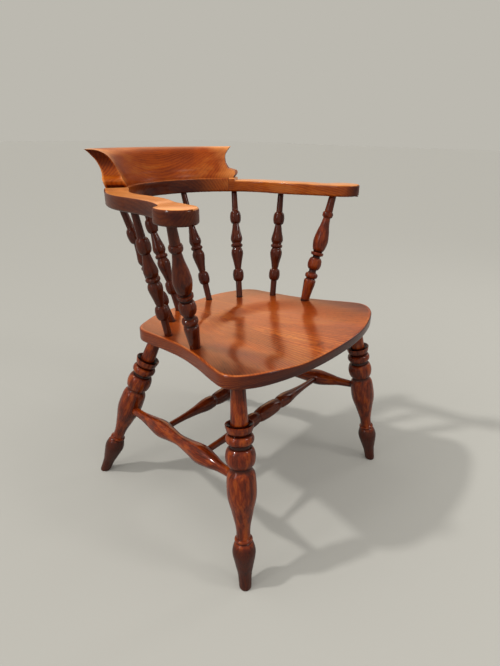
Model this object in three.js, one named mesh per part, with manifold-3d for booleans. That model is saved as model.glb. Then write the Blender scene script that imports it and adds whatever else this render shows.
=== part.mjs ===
// A smoker's bow captain's chair in turned and sawn hardwood.
// Millimetres, +Z up, the sitter faces -Y and the sitter's left is +X.
// The floor is at Z = 0 under the feet.
import * as THREE from 'three';
import { mergeVertices } from 'three/addons/utils/BufferGeometryUtils.js';
import Module from 'manifold-3d';

const wasm = await Module();
wasm.setup();

// Clearances and facets

const fitGap = 0.3; // air between two pieces that touch
const cutOverrun = 12; // how far a cutter runs past the face it opens
const legSides = 10;
const spindleSides = 8;
const pegSides = 8;

// Seat

const seatHeight = 438; // top of the rim beside the arm posts
const seatWidth = 508;
const seatDepth = 445;
const seatFrontReach = 274; // from the chair's cross line to the front edge
const seatThickness = 27;
const seatSlopeShare = 0.05; // rise of the seat towards the front, over its depth
const seatDish = 9; // depth of the saddled hollow
const seatTopRound = 4;
const seatBottomRound = 2;
const seatOutlineSteps = 52;
// Half outline, from the middle of the back to the middle of the front:
// share of the half width, share of the depth
const seatOutlineShares = [
  [0, 0], [0.38, 0], [0.6, 0.043], [0.72, 0.08], [0.775, 0.13], [0.79, 0.21], [0.8, 0.32],
  [0.825, 0.45], [0.89, 0.59], [0.97, 0.72], [1, 0.79], [0.98, 0.835], [0.93, 0.87],
  [0.8, 0.92], [0.45, 0.98], [0, 1],
];
const seatRingShares = [0.9, 0.76, 0.58, 0.36]; // loops of the top, from rim to middle
const dishWidthShare = 0.8; // the hollow's width over the seat's width
const dishBackShare = 0.25; // from the back edge to the hollow's back, over the depth
const dishCentreShare = 0.55; // the hollow's centre, over the depth from the back
const dishFlatShare = 0.55; // the part of the hollow's radius that lies at full depth
const dishFrontShare = 0.3; // how much shallower the hollow is at the front edge
const dishFrontRunShare = 0.3; // how far back from that edge this starts, over the depth

// Legs: places of the heads as shares of the seat's half width and depth, and how far
// each foot stands outside its head, sideways and lengthways

const frontHeadShares = [0.858, 0.807];
const backHeadShares = [0.505, 0.081];
const frontSpread = { outwards: 51, rearwards: -68 };
const backSpread = { outwards: 111, rearwards: 123 };
const legRadius = 29;
const footOverrun = 12; // waste below the floor, sawn off level
const legTenonShare = 0.55; // over the seat's thickness

// Stretchers

const sideStretcherPlaceShares = [0.476, 0.541]; // up the back leg and up the front leg
const sideStretcherRadius = 20.5;
const crossStretcherRadius = 17.8;
const stretcherTenonShare = 0.64; // over the leg's greatest radius
const crossTenonShare = 0.44; // over the side stretcher's greatest radius
// Along the side stretcher from the back
const crossPlaceShares = [['back', 0.362], ['front', 0.703]];

// Arm posts and spindles

const postRadius = 18.4;
const spindleRadius = 15.6;
const seatTenonShare = 0.52; // over the seat's thickness
const armTenonShare = 0.46; // over the arm's thickness
// Feet on the seat: share of the half width, share of the depth from the back
const postFootShares = [0.768, 0.51];
const spindleFootShares = [[0.72, 0.299], [0.4685, 0.1596], [0.2087, 0.0517]];
const spindleHeadAngles = [-3, 33, 71.6]; // degrees round the bow, from the side
const spindleHeadShares = [0.26, -0.1, -0.2]; // outside the bow's centre line, over its width
// Head of the post: share of the paddle's width from its inner side, share of the arm's reach
const postHeadShares = [0.445, 0.705];

// Arm bow and crest

const armRise = 254; // from the seat's rim beside the posts up to the bow's underside
const bowSlopeShare = 0.02; // rise of the bow towards the front, over its depth
const armThickness = 28;
const bowRise = 6; // the bow under the crest stands this much above the arms
const bowWidth = 50;
const bowInset = 36; // the bow's centre line at its widest, inside the seat's side
const bowHalfDepth = 194; // of the centre line's half ellipse
const bowTurn = 180; // degrees of the half ellipse, from one side to the other
const bowSetback = 101; // from the seat's back edge forward to the half ellipse's centre
const armReach = 207; // from the bow's centre to the front of the arms
const armRound = 5;
const jointAngle = 36.5; // degrees from the side, where arm and back rail meet
const crestAngle = 31.5; // degrees from the side, where the crest ends
const paddleWidth = 74;
const paddleOverhang = 48; // the paddle's outer edge outside the seat's side
const sideSteps = 3;
const armSteps = 26;
// Outline of one arm in front of the half ellipse, from the outer edge round to the inner one:
// share from the paddle's inner side to its outer side, share of the way forward to the arm's front
const armOutlineShares = [
  [0.26, 0.2], [0.38, 0.42], [0.52, 0.57], [0.66, 0.63], [0.9, 0.68], [1, 0.79], [0.95, 0.9],
  [0.76, 0.98], [0.5, 1], [0.24, 0.96], [0.07, 0.87], [0, 0.75], [-0.12, 0.56], [-0.36, 0.3],
];

const crestHeight = 73.5;
const crestSweep = 56; // the tip behind the bow's centre line
const crestSteps = 16;
const crestEndInset = 28; // how deep the end's cove is cut behind the bead
// Section and end outline together, from the foot up: share of the height, shares of the sweep
// from the bow's centre line back to the front face and to the back face, share of the inset
const crestShares = [
  [0, -0.38, 0.38, 0.2], [0.08, -0.35, 0.42, 0.05], [0.16, -0.3, 0.45, 0], [0.23, -0.25, 0.47, 0.1],
  [0.3, -0.21, 0.48, 0.68], [0.48, -0.07, 0.53, 0.94], [0.7, 0.1, 0.665, 1], [0.84, 0.24, 0.8, 0.86],
  [0.93, 0.42, 0.9, 0.74], [0.985, 0.66, 0.98, 0.65],
];
const crestTipShares = [1, 1, 0.6]; // height, sweep, inset

// Fixings

const dowelRadius = 4;
const dowelLength = 36;
const dowelSpacingShare = 0.44; // over the bow's width
const dowelRiseShare = 0.77; // over the arm's thickness, above the bow's underside
const screwShankRadius = 2.4;
const screwHeadRadius = 4.6;
const screwHeadHeight = 4;
const screwBite = 16; // length of screw inside the crest
const screwRecess = 8; // the head sits this far up in its counterbore
const screwSpreadShares = [0.16, 0.4, 0.6, 0.84]; // of the way along the crest

// Sizes worked out from these

const seatBackReach = seatDepth - seatFrontReach; // from the cross line to the back edge
const seatHalfWidth = seatWidth / 2;
const legTenon = legTenonShare * seatThickness;
const stretcherTenon = stretcherTenonShare * legRadius;
const crossTenon = crossTenonShare * sideStretcherRadius;
const seatTenon = seatTenonShare * seatThickness;
const armTenon = armTenonShare * armThickness;
const armHeight = seatHeight + armRise; // underside of the bow at its centre
const bowCentre = seatBackReach - bowSetback; // behind the cross line
const bowHalfWidth = seatHalfWidth - bowInset;
const paddleOuter = seatHalfWidth + paddleOverhang; // the paddle's sides, from the chair's middle
const paddleInner = paddleOuter - paddleWidth;
const dowelRise = dowelRiseShare * armThickness;
const dowelSpacing = dowelSpacingShare * bowWidth;
const screwLength = armThickness + bowRise + fitGap - screwRecess + screwBite;

// Turned outlines: share of the length, share of the greatest radius

function bead(start, end, neck, crown, steps = 4) {
  const middle = (start + end) / 2;
  const halfLength = (end - start) / 2;
  return Array.from({ length: steps + 1 }, (_, i) => {
    const angle = Math.PI * i / steps;
    return [middle - halfLength * Math.cos(angle), neck + (crown - neck) * Math.sin(angle)];
  });
}

function flow(shares, steps) {
  const curve = new THREE.CatmullRomCurve3(
    shares.map(([along, radius]) => new THREE.Vector3(along, radius, 0)), false, 'centripetal');
  return curve.getPoints(steps).map((point) => [point.x, point.y]);
}

const legShares = [
  ...flow([[0, 0.42], [0.07, 0.48], [0.12, 0.62], [0.19, 0.8], [0.225, 0.7], [0.24, 0.57]], 6),
  ...bead(0.244, 0.262, 0.5, 0.62, 2),
  ...flow([[0.264, 0.47], [0.3, 0.48], [0.39, 0.72], [0.49, 1.01], [0.56, 0.97], [0.605, 0.72]], 7),
  ...bead(0.615, 0.706, 0.7, 1, 5),
  ...bead(0.722, 0.766, 0.7, 0.94, 4),
  ...flow([[0.77, 0.73], [0.786, 0.87], [0.811, 0.95]], 2),
  [0.807, 0.82],
  [0.797, 0.61],
  [0.88, 0.55],
  [1, 0.475],
];

const sideStretcherShares = flow([
  [0, 0.47], [0.09, 0.5], [0.2, 0.7], [0.335, 0.97], [0.43, 0.76], [0.52, 0.61], [0.62, 0.76],
  [0.735, 1], [0.83, 0.78], [0.91, 0.52], [1, 0.42],
], 16);

const crossTaperShares = [[0, 0.39], [0.1, 0.42], [0.22, 0.62], [0.33, 0.92], [0.37, 0.89], [0.397, 0.74]];

const crossStretcherShares = [
  ...flow(crossTaperShares, 6),
  ...bead(0.403, 0.597, 0.72, 1, 5),
  ...flow(crossTaperShares.map(([along, radius]) => [1 - along, radius]).reverse(), 6),
];

const postShares = [
  ...flow([[0, 0.56], [0.1, 0.7], [0.185, 0.82], [0.21, 0.66]], 4),
  ...bead(0.218, 0.27, 0.58, 0.88, 3),
  [0.285, 0.49],
  ...bead(0.3, 0.418, 0.52, 0.93, 5),
  [0.428, 0.48],
  [0.448, 0.85],
  [0.462, 0.84],
  ...flow([[0.472, 0.6], [0.51, 0.86], [0.575, 1], [0.65, 0.86], [0.72, 0.62], [0.785, 0.48]], 7),
  ...bead(0.795, 0.848, 0.52, 0.72, 3),
  [0.852, 0.54],
  [1, 0.47],
];

const spindleShares = [
  [0, 0.5],
  [0.145, 0.5],
  ...bead(0.152, 0.262, 0.6, 0.92, 4),
  ...flow([[0.266, 0.52], [0.32, 0.68], [0.42, 1], [0.468, 0.74]], 4),
  ...bead(0.471, 0.505, 0.76, 0.98, 2),
  ...flow([[0.508, 0.74], [0.55, 0.98], [0.63, 0.7], [0.69, 0.52]], 4),
  ...bead(0.696, 0.81, 0.6, 0.92, 4),
  [0.817, 0.52],
  [1, 0.46],
];

// Finishes

function wood(color, roughness) {
  return new THREE.MeshStandardMaterial({ color, roughness, metalness: 0 });
}

function seatWood() {
  return wood(0xb5652f, 0.32);
}

function bowWood() {
  return wood(0x9a4a1c, 0.34);
}

function crestWood() {
  return wood(0xb0672c, 0.36);
}

function turnedWood() {
  return wood(0x6e2a12, 0.3);
}

function dowelWood() {
  return wood(0xc9a26b, 0.6);
}

function screwSteel() {
  return new THREE.MeshStandardMaterial({ color: 0x8d8c88, roughness: 0.4, metalness: 1 });
}

// Solids

function toSolid(geometry) {
  const bare = geometry.clone();
  bare.deleteAttribute('normal');
  bare.deleteAttribute('uv');
  const merged = mergeVertices(bare);
  return new wasm.Manifold(new wasm.Mesh({
    numProp: 3,
    vertProperties: new Float32Array(merged.attributes.position.array),
    triVerts: new Uint32Array(merged.index.array),
  }));
}

function toGeometry(solid) {
  const { vertProperties, triVerts } = solid.getMesh();
  const geometry = new THREE.BufferGeometry();
  geometry.setAttribute('position', new THREE.BufferAttribute(vertProperties, 3));
  geometry.setIndex(new THREE.BufferAttribute(triVerts, 1));
  geometry.computeVertexNormals();
  return geometry;
}

// The solid of a mesh as it lies in another mesh's own coordinates
function solidSeenFrom(mesh, target) {
  mesh.updateMatrix();
  target.updateMatrix();
  const intoTarget = target.matrix.clone().invert().multiply(mesh.matrix);
  return toSolid(mesh.geometry.clone().applyMatrix4(intoTarget));
}

function combine(target, others, operation) {
  let solid = toSolid(target.geometry);
  for (const other of others) {
    solid = solid[operation](solidSeenFrom(other, target));
  }
  target.geometry = toGeometry(solid);
  return target;
}

function cut(target, cutters) {
  return combine(target, cutters, 'subtract');
}

function keepInside(target, region) {
  return combine(target, [region], 'intersect');
}

function fuse(target, additions) {
  return combine(target, additions, 'add');
}

function named(name, mesh) {
  mesh.name = name;
  return mesh;
}

function vector(x, y, z) {
  return new THREE.Vector3(x, y, z);
}

// Puts a piece made along its own +Y so that it starts at one point and runs towards another
function aim(mesh, start, end) {
  const direction = end.clone().sub(start).normalize();
  mesh.position.copy(start);
  mesh.quaternion.setFromUnitVectors(vector(0, 1, 0), direction);
  return mesh;
}

// A turned piece: its outline between the two shoulders, and a plain peg beyond each of them
function turned(shares, start, end, radius, pegs, sides, material) {
  const length = start.distanceTo(end);
  const firstRadius = shares[0][1] * radius;
  const lastRadius = shares[shares.length - 1][1] * radius;
  const outline = [
    new THREE.Vector2(0, -pegs[0]),
    new THREE.Vector2(firstRadius, -pegs[0]),
    ...shares.map(([along, across]) => new THREE.Vector2(across * radius, along * length)),
    new THREE.Vector2(lastRadius, length + pegs[1]),
    new THREE.Vector2(0, length + pegs[1]),
  ];
  return aim(new THREE.Mesh(new THREE.LatheGeometry(outline, sides), material), start, end);
}

// A plain round bar, used for pegs and for drilling their holes
function bar(start, end, radius, sides, material) {
  const length = start.distanceTo(end);
  const outline = [
    new THREE.Vector2(0, 0),
    new THREE.Vector2(radius, 0),
    new THREE.Vector2(radius, length),
    new THREE.Vector2(0, length),
  ];
  return aim(new THREE.Mesh(new THREE.LatheGeometry(outline, sides), material), start, end);
}

// A hole round a peg that leaves a shoulder at one point and runs away from another
function socket(shoulder, away, radius, depth, sides) {
  const outward = shoulder.clone().sub(away).normalize();
  const mouth = shoulder.clone().addScaledVector(outward, -cutOverrun);
  const floor = shoulder.clone().addScaledVector(outward, depth + fitGap);
  const turnedUpwards = outward.z > 0;
  const ends = turnedUpwards ? [mouth, floor] : [floor, mouth];
  return bar(ends[0], ends[1], radius + fitGap, sides);
}

// Heights of the seat

function smooth(from, to, value) {
  const share = THREE.MathUtils.clamp((value - from) / (to - from), 0, 1);
  return share * share * (3 - 2 * share);
}

function seatRim(y) {
  return seatHeight + seatSlopeShare * (seatDepthAt(postFootShares[1]) - y);
}

function seatUnderside(y) {
  return seatRim(y) - seatThickness;
}

function seatDepthAt(share) {
  return seatBackReach - share * seatDepth;
}

function dishDepth(x, y) {
  const centre = seatDepthAt(dishCentreShare);
  const back = seatDepthAt(dishBackShare);
  const sideways = x / (dishWidthShare * seatHalfWidth);
  const rearward = Math.max(0, (y - centre) / (back - centre));
  const hollow = 1 - smooth(dishFlatShare, 1, Math.hypot(sideways, rearward));
  const forward = smooth(seatDepthAt(1 - dishFrontRunShare), seatDepthAt(1), y);
  return seatDish * hollow * (1 - dishFrontShare * forward);
}

function seatTop(x, y) {
  return seatRim(y) - dishDepth(x, y);
}

function seatOutline() {
  const half = seatOutlineShares.map(([across, back]) => [across * seatHalfWidth, seatDepthAt(back)]);
  const mirrored = half.slice(1, -1).reverse().map(([x, y]) => [-x, y]);
  const curve = new THREE.CatmullRomCurve3(
    [...half, ...mirrored].map(([x, y]) => vector(x, y, 0)), true, 'centripetal');
  return curve.getSpacedPoints(seatOutlineSteps).slice(0, seatOutlineSteps);
}

function inset(outline, distance) {
  return outline.map((point, i) => {
    const before = outline[(i + outline.length - 1) % outline.length];
    const after = outline[(i + 1) % outline.length];
    const along = after.clone().sub(before).normalize();
    return vector(point.x + along.y * distance, point.y - along.x * distance, 0);
  });
}

function meshOf(points, faces) {
  const geometry = new THREE.BufferGeometry();
  geometry.setAttribute('position', new THREE.BufferAttribute(
    new Float32Array(points.flatMap((point) => point.toArray())), 3));
  geometry.setIndex(faces);
  geometry.computeVertexNormals();
  return geometry;
}

// A closed skin from a stack of loops of equal length, with a point closing each end
function skin(firstPoint, loops, lastPoint) {
  const count = loops[0].length;
  const points = [firstPoint, ...loops.flat(), lastPoint];
  const last = points.length - 1;
  const faces = [];
  for (let i = 0; i < count; i += 1) {
    const next = (i + 1) % count;
    faces.push(0, 1 + i, 1 + next);
    for (let loop = 0; loop < loops.length - 1; loop += 1) {
      const low = 1 + loop * count;
      const high = low + count;
      faces.push(low + i, high + i, high + next, low + i, high + next, low + next);
    }
    const top = 1 + (loops.length - 1) * count;
    faces.push(last, top + next, top + i);
  }
  return meshOf(points, faces);
}

function seatBlank() {
  const outline = seatOutline();
  const middle = vector(0, seatDepthAt(dishCentreShare), 0);
  const onTop = ({ x, y }, drop) => vector(x, y, seatTop(x, y) - drop);
  const under = ({ x, y }, rise) => vector(x, y, seatUnderside(y) + rise);
  const corner = 1 - Math.SQRT1_2;
  const loops = [
    inset(outline, seatBottomRound).map((point) => under(point, 0)),
    outline.map((point) => under(point, seatBottomRound)),
    outline.map((point) => onTop(point, seatTopRound)),
    inset(outline, seatTopRound * corner).map((point) => onTop(point, seatTopRound * corner)),
    inset(outline, seatTopRound).map((point) => onTop(point, 0)),
    ...seatRingShares.map((share) =>
      outline.map((point) => onTop(point.clone().sub(middle).multiplyScalar(share).add(middle), 0))),
  ];
  return new THREE.Mesh(skin(under(middle, 0), loops, onTop(middle, 0)), seatWood());
}

// Places of the legs

function legHead(atBack, side) {
  const [across, back] = atBack ? backHeadShares : frontHeadShares;
  const y = seatDepthAt(back);
  return vector(side * across * seatHalfWidth, y, seatUnderside(y));
}

// A place on a leg's centre line, by its share of the way up from the floor
function legPoint(atBack, side, share) {
  const head = legHead(atBack, side);
  const spread = atBack ? backSpread : frontSpread;
  const foot = vector(head.x + side * spread.outwards, head.y + spread.rearwards, 0);
  return foot.lerp(head, share);
}

function leg(atBack, side) {
  const foot = legPoint(atBack, side, 0);
  const head = legPoint(atBack, side, 1);
  const blank = turned(legShares, foot, head, legRadius, [footOverrun, legTenon], legSides, turnedWood());
  const waste = new THREE.Mesh(new THREE.BoxGeometry(head.z, head.z, head.z));
  waste.position.set(foot.x, foot.y, -head.z / 2);
  return cut(blank, [waste]);
}

function legSocket(atBack, side) {
  const radius = legShares[legShares.length - 1][1] * legRadius;
  return socket(legPoint(atBack, side, 1), legPoint(atBack, side, 0), radius, legTenon, legSides);
}

function legRadiusAt(share) {
  const after = legShares.findIndex(([along]) => along > share);
  const [low, high] = [legShares[after - 1], legShares[after]];
  const between = (share - low[0]) / (high[0] - low[0]);
  return legRadius * THREE.MathUtils.lerp(low[1], high[1], between);
}

// Places of the stretchers

function sideStretcherLine(side) {
  const [backShare, frontShare] = sideStretcherPlaceShares;
  return [legPoint(true, side, backShare), legPoint(false, side, frontShare)];
}

// The two shoulders of a stretcher, where it enters the surfaces it joins
function shoulders(start, end, startRadius, endRadius) {
  const direction = end.clone().sub(start).normalize();
  return [
    start.clone().addScaledVector(direction, startRadius),
    end.clone().addScaledVector(direction, -endRadius),
  ];
}

function sideShoulders(side) {
  const [back, front] = sideStretcherLine(side);
  return shoulders(back, front, ...sideStretcherPlaceShares.map(legRadiusAt));
}

function crossShoulders(share) {
  const [left, right] = [1, -1].map((side) => {
    const [back, front] = sideStretcherLine(side);
    return back.lerp(front, share);
  });
  return shoulders(right, left, sideStretcherRadius, sideStretcherRadius);
}

// A hole for a stretcher's peg, turned the same way round as the stretcher itself
function pegHole(start, end, atStart, radius, depth) {
  const direction = end.clone().sub(start).normalize();
  const shoulder = atStart ? start : end;
  const from = shoulder.clone().addScaledVector(direction, atStart ? -depth - fitGap : -cutOverrun);
  const to = shoulder.clone().addScaledVector(direction, atStart ? cutOverrun : depth + fitGap);
  return bar(from, to, radius + fitGap, legSides);
}

function sideStretcher(side) {
  const [back, front] = sideShoulders(side);
  const blank = turned(sideStretcherShares, back, front, sideStretcherRadius,
    [stretcherTenon, stretcherTenon], legSides, turnedWood());
  const radius = crossStretcherShares[0][1] * crossStretcherRadius;
  const holes = crossPlaceShares.map(([, share]) =>
    pegHole(...crossShoulders(share), side < 0, radius, crossTenon));
  return cut(blank, holes);
}

function crossStretcher(share) {
  const [right, left] = crossShoulders(share);
  return turned(crossStretcherShares, right, left, crossStretcherRadius,
    [crossTenon, crossTenon], legSides, turnedWood());
}

function drilledLeg(atBack, side) {
  const end = atBack ? sideStretcherShares[0] : sideStretcherShares[sideStretcherShares.length - 1];
  const hole = pegHole(...sideShoulders(side), atBack, end[1] * sideStretcherRadius, stretcherTenon);
  return cut(leg(atBack, side), [hole]);
}

// Places of the arm posts and spindles

function seatPoint([across, back], side) {
  const x = side * across * seatHalfWidth;
  const y = seatDepthAt(back);
  return vector(x, y, seatTop(x, y));
}

function postHead(side) {
  const across = THREE.MathUtils.lerp(paddleInner, paddleOuter, postHeadShares[0]);
  return onBow({ x: side * across, y: -postHeadShares[1] * armReach }, 0);
}

function spindleHead(index, side) {
  const place = bowPoint(spindleHeadAngles[index], spindleHeadShares[index] * bowWidth);
  return onBow({ x: side * place.x, y: place.y }, 0);
}

function uprights(side) {
  const post = {
    foot: seatPoint(postFootShares, side),
    head: postHead(side),
    radius: postRadius,
    shares: postShares,
    sides: legSides,
  };
  const spindles = spindleFootShares.map((place, i) => ({
    foot: seatPoint(place, side),
    head: spindleHead(i, side),
    radius: spindleRadius,
    shares: spindleShares,
    sides: spindleSides,
  }));
  return [post, ...spindles];
}

function uprightMesh({ foot, head, radius, shares, sides }) {
  return turned(shares, foot, head, radius, [seatTenon, armTenon], sides, turnedWood());
}

function footSocket({ foot, head, radius, shares, sides }) {
  return socket(foot, head, shares[0][1] * radius, seatTenon, sides);
}

function headSocket({ foot, head, radius, shares, sides }) {
  return socket(head, foot, shares[shares.length - 1][1] * radius, armTenon, sides);
}

function bothSides(make) {
  return [...make(1), ...make(-1)];
}

function seat() {
  const legSockets = [1, -1].flatMap((side) => [legSocket(false, side), legSocket(true, side)]);
  const uprightSockets = bothSides(uprights).map(footSocket);
  return cut(seatBlank(), [...legSockets, ...uprightSockets]);
}

// The arm bow: two arms and a back rail sawn to one curve. It is drawn flat, with its
// origin on its underside at the centre of its half ellipse, and then tilted as a whole

const bowTilt = Math.atan(bowSlopeShare);

function settle(mesh) {
  mesh.position.set(0, bowCentre, armHeight);
  mesh.rotation.x = -bowTilt;
  return mesh;
}

function onBow({ x, y }, height) {
  const place = vector(x, y, height).applyAxisAngle(vector(1, 0, 0), -bowTilt);
  return place.add(vector(0, bowCentre, armHeight));
}

function bowPoint(degrees, offset) {
  const angle = THREE.MathUtils.degToRad(degrees);
  return new THREE.Vector2(
    (bowHalfWidth + offset) * Math.cos(angle), (bowHalfDepth + offset) * Math.sin(angle));
}

// The way forward along the bow's centre line
function bowForward(degrees) {
  const angle = THREE.MathUtils.degToRad(degrees);
  const along = new THREE.Vector2(bowHalfWidth * Math.sin(angle), -bowHalfDepth * Math.cos(angle));
  return along.normalize();
}

function bowArc(from, to, offset, steps) {
  return Array.from({ length: steps + 1 }, (_, i) =>
    bowPoint(THREE.MathUtils.lerp(from, to, i / steps), offset));
}

// One edge of the bow from the left arm to the right one: the stretch under the crest, and both ends
function bowEdge(offset) {
  return [
    bowArc(0, crestAngle, offset, sideSteps).slice(0, -1),
    bowArc(crestAngle, bowTurn - crestAngle, offset, crestSteps),
    bowArc(bowTurn - crestAngle, bowTurn, offset, sideSteps).slice(1),
  ];
}

function armFront(side) {
  const width = paddleOuter - paddleInner;
  const outer = bowPoint(0, bowWidth / 2);
  const inner = bowPoint(0, -bowWidth / 2);
  const places = armOutlineShares.map(([across, forward]) =>
    vector(paddleInner + across * width, -forward * armReach, 0));
  const curve = new THREE.CatmullRomCurve3(
    [vector(outer.x, 0, 0), ...places, vector(inner.x, 0, 0)], false, 'centripetal');
  const points = curve.getPoints(armSteps).slice(1, -1);
  return points.map((point) => new THREE.Vector2(side * point.x, point.y));
}

function slab(outline, thickness, material) {
  const geometry = new THREE.ExtrudeGeometry(new THREE.Shape(outline), {
    depth: thickness - 2 * armRound,
    bevelThickness: armRound,
    bevelSize: armRound,
    bevelOffset: -armRound,
    bevelSegments: 2,
  });
  geometry.translate(0, 0, armRound);
  return new THREE.Mesh(geometry, material);
}

function wholeBow() {
  const outline = [
    ...bowEdge(-bowWidth / 2).flat(),
    ...armFront(-1).reverse(),
    ...bowEdge(bowWidth / 2).flat().reverse(),
    ...armFront(1),
  ];
  const bow = slab(outline, armThickness, bowWood());
  const raised = slab(
    [...bowEdge(bowWidth / 2)[1], ...bowEdge(-bowWidth / 2)[1].reverse()], armThickness, bowWood());
  raised.position.z = bowRise;
  return fuse(bow, [raised]);
}

// A block covering the arm in front of one joint of the bow
function armRegion(side, shift) {
  const place = bowPoint(jointAngle, 0);
  const ahead = bowForward(jointAngle);
  const size = 2 * (armReach + bowHalfDepth);
  const block = new THREE.Mesh(new THREE.BoxGeometry(size, 2 * bowHalfWidth, size));
  const distance = size / 2 + shift;
  block.position.set(side * (place.x + ahead.x * distance), place.y + ahead.y * distance, 0);
  block.rotation.z = Math.atan2(ahead.y, side * ahead.x);
  return block;
}

// Two dowels side by side, above the peg of the spindle that stands beside the joint
function jointDowels(side, grow, material) {
  const ahead = bowForward(jointAngle);
  return [-1, 1].map((across) => {
    const place = bowPoint(jointAngle, across * dowelSpacing / 2);
    const [back, front] = [-1, 1].map((way) => {
      const end = place.clone().addScaledVector(ahead, way * (dowelLength / 2 + grow));
      return onBow({ x: side * end.x, y: end.y }, dowelRise);
    });
    return bar(back, front, dowelRadius + grow, pegSides, material);
  });
}

function dowelHoles(side) {
  return jointDowels(side, fitGap);
}

function headSockets(side) {
  return uprights(side).map(headSocket);
}

function arm(side) {
  const blank = keepInside(wholeBow(), armRegion(side, fitGap / 2));
  return cut(settle(blank), [...dowelHoles(side), ...headSockets(side)]);
}

function backRail() {
  const blank = cut(wholeBow(), [1, -1].map((side) => armRegion(side, -fitGap / 2)));
  return cut(settle(blank), [
    ...bothSides(dowelHoles), ...bothSides(headSockets), ...screwPlaces().map(screwHole)]);
}

// Screws that hold the crest from below

function screwPlaces() {
  return screwSpreadShares.map((share) =>
    bowPoint(THREE.MathUtils.lerp(crestAngle, bowTurn - crestAngle, share), 0));
}

function standing(outline, place, material) {
  const points = outline.map(([radius, height]) => new THREE.Vector2(radius, height));
  const mesh = new THREE.Mesh(new THREE.LatheGeometry(points, pegSides), material);
  return aim(mesh, onBow(place, screwRecess), onBow(place, screwRecess + screwLength));
}

function screw(place) {
  return standing([
    [0, 0],
    [screwHeadRadius, 0],
    [screwShankRadius, screwHeadHeight],
    [screwShankRadius, screwLength - screwHeadHeight],
    [0, screwLength],
  ], place, screwSteel());
}

function screwHole(place) {
  const mouth = -screwRecess - cutOverrun;
  return standing([
    [0, mouth],
    [screwHeadRadius + fitGap, mouth],
    [screwHeadRadius + fitGap, fitGap],
    [screwShankRadius + fitGap, screwHeadHeight + fitGap],
    [screwShankRadius + fitGap, screwLength + fitGap],
    [0, screwLength + fitGap],
  ], place);
}

// The crest: a rolled-back board with a cove and a bead at each end

function crestPoint(heightShare, behindShare, insetShare, along) {
  const insetAngle = THREE.MathUtils.radToDeg(insetShare * crestEndInset / bowHalfDepth);
  const end = crestAngle + insetAngle;
  const place = bowPoint(THREE.MathUtils.lerp(end, bowTurn - end, along), behindShare * crestSweep);
  const foot = armThickness + bowRise + fitGap;
  return vector(place.x, place.y, foot + heightShare * crestHeight);
}

// The points round the crest at one place along it: up the front, over the tip and down the back
function crestSection(along) {
  const front = crestShares.map(([height, behind, , inset]) => crestPoint(height, behind, inset, along));
  const back = crestShares.map(([height, , behind, inset]) => crestPoint(height, behind, inset, along));
  return [...front, crestPoint(...crestTipShares, along), ...back.reverse()];
}

function crestBlank() {
  const sections = Array.from({ length: crestSteps + 1 }, (_, i) => crestSection(i / crestSteps));
  const count = sections[0].length;
  const faces = [];
  for (let step = 0; step < crestSteps; step += 1) {
    for (let i = 0; i < count; i += 1) {
      const next = (i + 1) % count;
      const near = step * count;
      const far = near + count;
      faces.push(near + i, near + next, far + next, near + i, far + next, far + i);
    }
  }
  const farEnd = crestSteps * count;
  for (let low = 0; low < crestShares.length; low += 1) {
    const [front, back] = [low, count - 1 - low];
    faces.push(front, back, front + 1, farEnd + front, farEnd + front + 1, farEnd + back);
    if (back - 1 > front + 1) {
      faces.push(front + 1, back, back - 1, farEnd + front + 1, farEnd + back - 1, farEnd + back);
    }
  }
  return settle(new THREE.Mesh(meshOf(sections.flat(), faces), crestWood()));
}

function crest() {
  return cut(crestBlank(), screwPlaces().map(screwHole));
}

// The chair

const chair = new THREE.Group();
chair.add(named('seat', seat()));
chair.add(named('crest', crest()));
chair.add(named('back_rail', backRail()));
for (const [sideName, side] of [['left', 1], ['right', -1]]) {
  chair.add(named(`leg_front_${sideName}`, drilledLeg(false, side)));
  chair.add(named(`leg_back_${sideName}`, drilledLeg(true, side)));
  chair.add(named(`side_stretcher_${sideName}`, sideStretcher(side)));
  chair.add(named(`arm_${sideName}`, arm(side)));
  uprights(side).forEach((place, i) => {
    const name = i === 0 ? `arm_post_${sideName}` : `spindle_${sideName}_${i}`;
    chair.add(named(name, uprightMesh(place)));
  });
  jointDowels(side, 0, dowelWood()).forEach((dowel, i) => {
    chair.add(named(`dowel_${sideName}_${i + 1}`, dowel));
  });
}
for (const [place, share] of crossPlaceShares) {
  chair.add(named(`cross_stretcher_${place}`, crossStretcher(share)));
}
screwPlaces().forEach((place, i) => {
  chair.add(named(`crest_screw_${i + 1}`, screw(place)));
});

// The origin lies on the floor under the middle of the chair's bounding box
const box = new THREE.Box3().setFromObject(chair, true);
chair.position.y = -(box.min.y + box.max.y) / 2;

export default chair;
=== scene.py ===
# A smoker's bow captain's chair in varnished hardwood, in a plain pale studio.
# Lengths are in millimetres until a mesh is made. They start at the floor, the chair's middle
# and its cross line, which lies SEAT_FRONT_REACH behind the seat's front edge.
import math

import bmesh
import bpy
from mathutils import Matrix, Vector


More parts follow.
